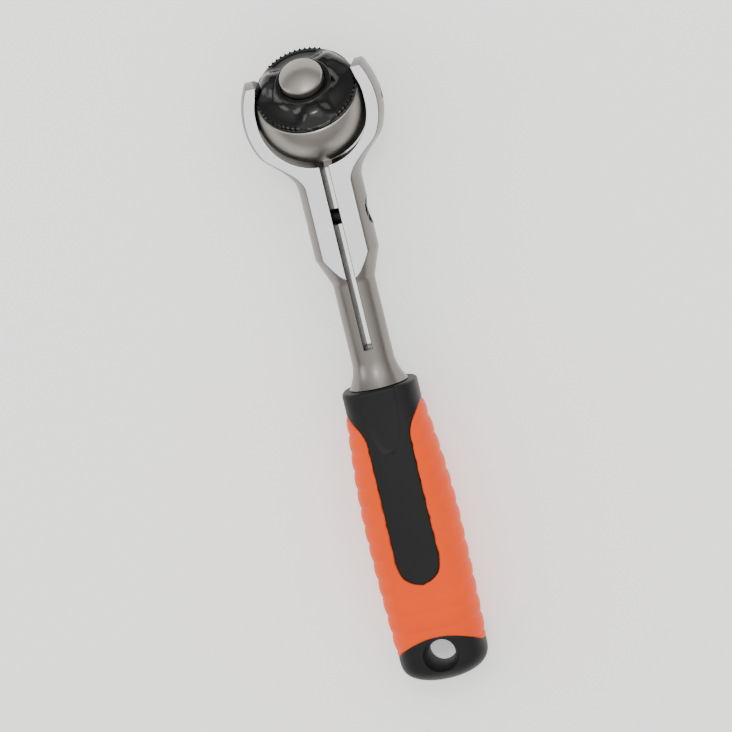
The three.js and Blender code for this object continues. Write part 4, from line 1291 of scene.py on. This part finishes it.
class Grip:
    """The two-colour grip: a hard black core and a ribbed orange cushion."""

    AROUND = 240
    CORE_STEP, CUSHION_STEP = 0.32, 0.28
    LIP_STEPS, HEEL_STEPS = 8, 30
    EYE_SIDES = 96
    # Points along a curve of the border, step of the even border and width of its easing.
    BORDER_POINTS, BORDER_STEP, BORDER_WIDTH = 40, 0.25, 25
    ARCH_POINTS, ARCH_TURN = 120, 1.3
    # Shape of a rib's crest, and how far sideways a place must face to be ribbed in full.
    RIB_ROUND = 0.6
    SIDE_BAND = {"From Min": 0.35, "From Max": 0.85}

    def __init__(self, sizes: GripSizes = GripSizes()) -> None:
        self.sizes = sizes

    def section(self, at: np.ndarray) -> tuple[np.ndarray, np.ndarray]:
        """Half width and half depth at distances from the mouth.

        Args:
            at: the distances.

        Returns:
            Half widths and half depths.
        """
        s = self.sizes
        heel = s.length - s.heel_run

        def ease(t: np.ndarray) -> np.ndarray:
            return np.sin(math.pi / 2 * np.clip(t, 0, 1))

        rise = ease((at - s.collar_run) / (s.palm_at - s.collar_run))
        fall = 1 - ease(1 - (at - s.palm_at) / (heel - s.palm_at))
        wedge = 1 - ease(1 - (at - s.length + s.wedge_run) / s.wedge_run)
        end = np.sqrt(np.maximum(0, 1 - np.maximum(0, (at - heel) / s.heel_run) ** 3))
        lip = s.lip * (1 - np.sqrt(1 - (np.maximum(0, s.lip - at) / s.lip) ** 2))
        width = s.collar_width + (s.palm_width - s.collar_width) * rise
        width = width - (s.palm_width - s.heel_width) * fall
        depth = s.collar_depth + (s.palm_depth - s.collar_depth) * rise
        depth = depth - (s.palm_depth - s.heel_depth) * wedge
        return width * end - lip, depth * (s.heel_blunt + (1 - s.heel_blunt) * end) - lip

    def borders(self) -> tuple[np.ndarray, np.ndarray]:
        """The cushion's two borders in plan, for positive X: window with prong tip, and arch.

        Returns:
            Points (x, at) of the window border and of the arch border.
        """
        s = self.sizes
        turn = s.window_end - s.window
        tip = s.tip_run + (s.collar_width - s.window) * s.tip_lean
        window = [(s.window * math.cos(a), turn + s.window * math.sin(a))
                  for a in np.linspace(math.pi / 2, 0, self.BORDER_POINTS)]
        for t in np.linspace(0, 1, self.BORDER_POINTS)[1:]:
            window.append((bend(t, s.window, s.window - s.waist, s.window), turn + t * (tip - turn)))
        window.append((s.reach, tip - (s.reach - s.window) * s.tip_lean))
        line = np.array(window)
        spread = walked(line)
        even = np.arange(0, spread[-1], self.BORDER_STEP)
        eased = np.column_stack([running_mean(np.interp(even, spread, line[:, k]), self.BORDER_WIDTH)
                                 for k in (0, 1)])
        turns = np.linspace(0, self.ARCH_TURN, self.ARCH_POINTS)
        arch = np.column_stack((s.arch * np.sin(turns), s.arch_top + s.arch * (1 - np.cos(turns))))
        return eased, arch

    def inside(self, x: np.ndarray, at: np.ndarray) -> np.ndarray:
        """Signed distance from the cushion's border, positive on the cushion.

        Args:
            x: sideways places.
            at: distances from the mouth.

        Returns:
            The signed plan distances.
        """
        window, arch = self.borders()
        place = np.column_stack((np.abs(x).ravel(), at.ravel()))

        def nearest(line: np.ndarray) -> np.ndarray:
            best = np.full(len(place), FAR)
            for point in line:
                best = np.minimum(best, np.hypot(place[:, 0] - point[0], place[:, 1] - point[1]))
            return best

        limit = np.interp(place[:, 1], window[::-1, 1], window[::-1, 0], left=FAR, right=-FAR)
        past_end = place[:, 1] > self.sizes.window_end
        in_window = np.where(past_end, False, place[:, 0] < limit)
        from_window = np.where(in_window, -1.0, 1.0) * nearest(window)
        end = np.interp(place[:, 0], arch[:, 0], arch[:, 1])
        from_arch = np.where(place[:, 1] > end, -1.0, 1.0) * nearest(arch)
        return np.minimum(from_window, from_arch).reshape(x.shape)

    def grid(self, stations: np.ndarray) -> tuple[np.ndarray, np.ndarray, np.ndarray, np.ndarray]:
        """The bare grip surface.

        Args:
            stations: distances from the mouth.

        Returns:
            X, distance, Z and outward plan normals (x, z) of every grid place.
        """
        s = self.sizes
        width, depth = self.section(stations)
        angle = np.linspace(0, TAU, self.AROUND, endpoint=False)
        power = 2 / s.squareness
        c, n = np.cos(angle), np.sin(angle)
        even_x = np.sign(c) * np.abs(c) ** power
        even_z = np.sign(n) * np.abs(n) ** power
        x = width[:, None] * even_x[None, :]
        z = depth[:, None] * even_z[None, :]
        at = np.repeat(stations[:, None], self.AROUND, axis=1)
        nx = np.sign(c) * np.abs(c) ** (2 - power)
        nz = np.sign(n) * np.abs(n) ** (2 - power)
        size = np.hypot(nx, nz)
        normal = np.stack((np.broadcast_to(nx / size, x.shape), np.broadcast_to(nz / size, x.shape)))
        return x, at, z, normal

    def skin(self, stations: np.ndarray, offset: Any) -> Mesh:
        """Skins the grip surface pushed along its normals.

        Args:
            stations: distances from the mouth.
            offset: function of x, at and border distance that gives the push.

        Returns:
            The closed skin in the handle's frame.
        """
        x, at, z, normal = self.grid(stations)
        push = offset(x, at, self.inside(x, at))
        rings = np.stack((x + push * normal[0], -self.sizes.mouth - at, z + push * normal[1]), axis=-1)
        return loft(rings)

    def stations(self, step: float) -> np.ndarray:
        """Stations from mouth to end, closer at both ends."""
        s = self.sizes
        lip = s.lip * (1 - np.cos(np.linspace(0, math.pi / 2, self.LIP_STEPS)))
        heel = s.length - s.heel_run
        end = heel + s.heel_run * np.sin(np.linspace(0, math.pi / 2, self.HEEL_STEPS))[:-1]
        return np.concatenate((lip, np.arange(s.lip + step, heel - 0.1, step), end))

    def core_push(self, x: np.ndarray, at: np.ndarray, border: np.ndarray) -> np.ndarray:
        """Push of the black core: sunk under the cushion, eased at the border, with a thumb facet."""
        s = self.sizes
        push = -s.groove * np.clip(1 + border / s.groove_run, 0, 1) ** 2
        push = np.where(border > 0, -s.groove - s.under * smooth_step(0.0, s.under_run, border), push)
        reach = np.sqrt(np.clip(1 - (at / s.facet_run) ** 3, 0, 1)) * s.facet_half
        facet = smooth_step(0.0, 1.0, (reach - np.abs(x)) / s.facet_blend) * (at < s.facet_run)
        return push - s.facet_depth * facet

    def cushion_push(self, _x: np.ndarray, _at: np.ndarray, border: np.ndarray) -> np.ndarray:
        """Push of the orange cushion: a rounded lip inside its border, and under the core outside."""
        s = self.sizes
        lip = s.proud * np.sqrt(1 - (1 - np.clip(border / s.lip_run, 0, 1)) ** 2)
        return np.where(border > 0, lip, -s.tuck * smooth_step(0.0, s.tuck_run, -border))

    def build(self, shop: Workshop) -> None:
        """Builds core and cushion.

        Args:
            shop: the workshop.
        """
        s = self.sizes
        handle = shop.frames.handle
        core = shop.raw("grip_black", self.skin(self.stations(self.CORE_STEP), self.core_push), handle)
        surface = float(self.section(np.array([s.length - s.eye_from_end]))[1][0])
        slope = (s.eye_mouth - s.eye) / (surface - s.eye_flare)
        wide = s.eye + slope * (s.reach - s.eye_flare)
        eye_at = (0, -s.mouth - s.length + s.eye_from_end, 0)
        eye = lathe([(0, -s.reach), (wide, -s.reach), (s.eye, -s.eye_flare), (s.eye, s.eye_flare),
                     (wide, s.reach), (0, s.reach)], self.EYE_SIDES).moved(eye_at)
        bore = drill(s.bore, 0, s.mouth + s.bore_run).laid_back()
        shop.cut(core, [shop.raw("eye_cut", eye, handle), shop.raw("bore_cut", bore, handle)])
        shop.hand_over(core, Body.HANDLE, Finishes.MATT_BLACK, ("grip_core",))
        along = np.arange(s.cushion_start, s.cushion_end, self.CUSHION_STEP)
        cushion = shop.raw("grip_orange", self.skin(along, self.cushion_push), handle)
        clear = drill(s.eye_clear, -s.reach, s.reach).moved(eye_at)
        shop.cut(cushion, [shop.raw("clear_cut", clear, handle)])
        self.ribs(shop, cushion)
        shop.hand_over(cushion, Body.HANDLE, Finishes.ORANGE_RUBBER, ("grip_sleeve",))

    def ribs(self, shop: Workshop, cushion: bpy.types.Object) -> None:
        """Presses ribs into the cushion at a fixed pitch, deep at its sides and faint below the window.

        Geometry Nodes make them, with the pitch and the depth as settings of one modifier, which is then
        applied.

        Args:
            shop: the workshop.
            cushion: the cushion to rib.
        """
        s = self.sizes
        start = shop.frames.handle @ Vector((0, -s.mouth - s.tip_run, 0))
        along = (shop.frames.handle.to_3x3() @ Vector((0, -1, 0))).normalized()
        wanted = {
            "Start": ("NodeSocketVector", tuple(start)),
            "Along": ("NodeSocketVector", tuple(along)),
            "Pitch": ("NodeSocketFloat", s.rib_pitch * MM),
            "Depth": ("NodeSocketFloat", s.rib_depth * MM),
            "Wrap start": ("NodeSocketFloat", (s.window_end - s.tip_run) * MM),
            "Wrap full": ("NodeSocketFloat", (s.window_end - s.tip_run + s.rib_pitch) * MM),
            "Wrap share": ("NodeSocketFloat", s.rib_wrap),
            "Material": ("NodeSocketMaterial", shop.finishes.get(Finishes.ORANGE_RUBBER)),
        }
        tree, given = open_tree("ribs", wanted)
        where = add_node(tree, "GeometryNodeInputPosition").outputs["Position"]
        normal = add_node(tree, "GeometryNodeInputNormal").outputs["Normal"]
        away = add_node(tree, VECTOR_MATH, {0: where, 1: given["Start"]}, operation="SUBTRACT").outputs[0]
        run = add_node(tree, VECTOR_MATH, {0: away, 1: given["Along"]},
                       operation="DOT_PRODUCT").outputs["Value"]
        # The crest is a rounded half wave, one to each pitch.
        crest = run
        for operation, value in (("DIVIDE", given["Pitch"]), ("MULTIPLY", math.pi), ("SINE", 0.0),
                                 ("ABSOLUTE", 0.0), ("POWER", self.RIB_ROUND), ("SUBTRACT", 1.0)):
            crest = add_node(tree, MATH, {0: crest, 1: value}, operation=operation).outputs[0]
        sideways = add_node(tree, "ShaderNodeSeparateXYZ", {"Vector": normal}).outputs["X"]
        facing = add_node(tree, MATH, {0: sideways}, operation="ABSOLUTE").outputs[0]
        side = add_node(tree, "ShaderNodeMapRange", {"Value": facing, **self.SIDE_BAND},
                        interpolation_type="SMOOTHSTEP").outputs["Result"]
        wrap = add_node(tree, "ShaderNodeMapRange", {
            "Value": run, "From Min": given["Wrap start"], "From Max": given["Wrap full"],
            "To Max": given["Wrap share"]}, interpolation_type="SMOOTHSTEP").outputs["Result"]
        share = add_node(tree, MATH, {0: side, 1: wrap}, operation="MAXIMUM").outputs[0]
        push = crest
        for factor in (share, given["Depth"]):
            push = add_node(tree, MATH, {0: push, 1: factor}, operation="MULTIPLY").outputs[0]
        shift = add_node(tree, VECTOR_MATH, {0: normal, "Scale": push}, operation="SCALE").outputs[0]
        ribbed = add_node(tree, "GeometryNodeSetPosition", {"Geometry": given["Geometry"], "Offset": shift})
        close_tree(cushion, tree, wanted, ribbed.outputs["Geometry"], given["Material"])
        shop.flatten(cushion)


class Works:
    """The CAD nodes that show as they are, dressed in their finishes."""

    DRESS = {
        # The drive takes the walls' darker chrome, painted shade.
        "drive_spindle": ("chrome", Finishes.CHROME_SHADED),
        "drive_seal": ("seal_rubber", Finishes.SEAL_RUBBER),
        **dict.fromkeys(("cover_plate", "selector_disc", "release_plunger", "pawl_left", "pawl_right"),
                        ("dark_steel", Finishes.DARK_STEEL)),
        **dict.fromkeys(("selector_ring", "pawl_pin_left", "pawl_pin_right", "pawl_spring_right"),
                        ("spring_steel", Finishes.SPRING_STEEL)),
        **dict.fromkeys(("cover_screw_1", "cover_screw_2"), ("black_oxide", Finishes.BLACK_OXIDE)),
    }

    def dress(self, nodes: dict[str, bpy.types.Object], finishes: Finishes) -> None:
        """Gives each remaining CAD node its finish.

        Args:
            nodes: the frame's nodes.
            finishes: the finishes.
        """
        for name, (slot, finish) in self.DRESS.items():
            node = nodes[name]
            node.data.materials.clear()
            node.data.materials.append(finishes.get(finish))
            LOG.info("%s dressed in %s", name, finish.title)


@dataclass(frozen=True)
class SoftBox:
    """One square light: its name, place, side in metres and watts."""

    name: str
    place: tuple[float, float, float]
    side: float
    power: float


@dataclass(frozen=True)
class StudioSizes:
    """Camera and light, in metres, watts and degrees."""

    target: tuple[float, float, float] = (-0.0026, 0.0005, 0.0171)
    toward: tuple[float, float, float] = (0.113, 0.0928, 0.989)
    distance: float = 1.755
    roll: float = math.radians(13.2)
    lens: float = 280.8
    sensor: float = 36.0
    floor: float = 40.0
    sky: float = 1.5
    horizon: float = 0.2
    floor_glow: float = 0.5
    paper: str = "F4F4F2"
    paper_roughness: float = 0.8
    sky_tint: str = "FFFDFA"
    sky_full: float = 0.8
    near: float = 0.01


class Studio:
    """Floor, lights and the photograph's camera."""

    LIGHTS = (SoftBox("key", (0.25, 0.35, 0.9), 0.9, 2.2), SoftBox("left", (-0.9, 0.2, 0.45), 0.4, 1.5),
              SoftBox("streak", (0.1, 0.4, 1.15), 0.13, 1.3))

    def __init__(self, sizes: StudioSizes = StudioSizes()) -> None:
        self.sizes = sizes

    def build(self) -> None:
        """Builds the whole stage."""
        self.build_floor()
        self.build_sky()
        for box in self.LIGHTS:
            self.light(box)
        self.build_camera()

    def build_floor(self) -> None:
        """Lays the plain pale floor."""
        half = self.sizes.floor / 2
        corners = [(-half, -half, 0), (half, -half, 0), (half, half, 0), (-half, half, 0)]
        data = bpy.data.meshes.new("floor")
        data.from_pydata(corners, [], [(0, 1, 2, 3)])
        floor = placed("floor", data)
        material = bpy.data.materials.new("pale paper")
        material.use_nodes = True
        shader = material.node_tree.nodes["Principled BSDF"]
        shader.inputs["Base Color"].default_value = linear(self.sizes.paper)
        shader.inputs["Roughness"].default_value = self.sizes.paper_roughness
        shader.inputs["Emission Color"].default_value = linear("FFFFFF")
        shader.inputs["Emission Strength"].default_value = self.sizes.floor_glow
        data.materials.append(material)

    def build_sky(self) -> None:
        """Sets soft light from all round, brighter overhead."""
        world = bpy.data.worlds.new("studio")
        bpy.context.scene.world = world
        world.use_nodes = True
        tree = world.node_tree
        tree.nodes.clear()
        where = add_node(tree, "ShaderNodeTexCoord").outputs["Generated"]
        height = add_node(tree, "ShaderNodeSeparateXYZ", {"Vector": where}).outputs["Z"]
        strength = add_node(tree, "ShaderNodeMapRange", {
            "Value": height, "From Min": 0.0, "From Max": self.sizes.sky_full,
            "To Min": self.sizes.horizon, "To Max": self.sizes.sky}).outputs["Result"]
        sky = add_node(tree, "ShaderNodeBackground", {
            "Color": linear(self.sizes.sky_tint), "Strength": strength})
        add_node(tree, "ShaderNodeOutputWorld", {"Surface": sky.outputs["Background"]})

    def light(self, box: SoftBox) -> None:
        """Adds one soft box aimed at the tool.

        Args:
            box: the light wanted.
        """
        data = bpy.data.lights.new(box.name, "AREA")
        data.size = box.side
        data.energy = box.power
        obj = placed(box.name, data)
        obj.location = box.place
        aim = Vector(self.sizes.target) - Vector(box.place)
        obj.rotation_euler = aim.to_track_quat("-Z", "Y").to_euler()

    def build_camera(self) -> None:
        """Sets the camera where the photograph was taken from."""
        s = self.sizes
        back = Vector(s.toward).normalized()
        ahead = (Vector((0, 1, 0)) - back * back.y).normalized()
        right = ahead.cross(back)
        up = math.cos(s.roll) * ahead + math.sin(s.roll) * right
        side = up.cross(back)
        data = bpy.data.cameras.new("photo")
        data.lens = s.lens
        data.sensor_width = s.sensor
        data.clip_start = s.near
        camera = placed("photo", data)
        turn = Matrix((side, up, back)).transposed().to_4x4()
        camera.matrix_world = Matrix.Translation(Vector(s.target) + back * s.distance) @ turn
        bpy.context.scene.camera = camera


def main() -> None:
    """Builds the tool on its frame, dresses it and sets the studio."""
    logging.basicConfig(level=logging.INFO, format="%(name)s: %(message)s")
    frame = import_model()
    finishes = Finishes()
    shop = Workshop(Frames.from_joints(frame["joints"]), finishes)
    Yoke().build(shop)
    Pivots().build(shop)
    Head().build(shop)
    Dial().build(shop)
    Springs().build(shop)
    Grip().build(shop)
    Works().dress(frame["nodes"], finishes)
    Studio().build()


if __name__ == "__main__":
    main()
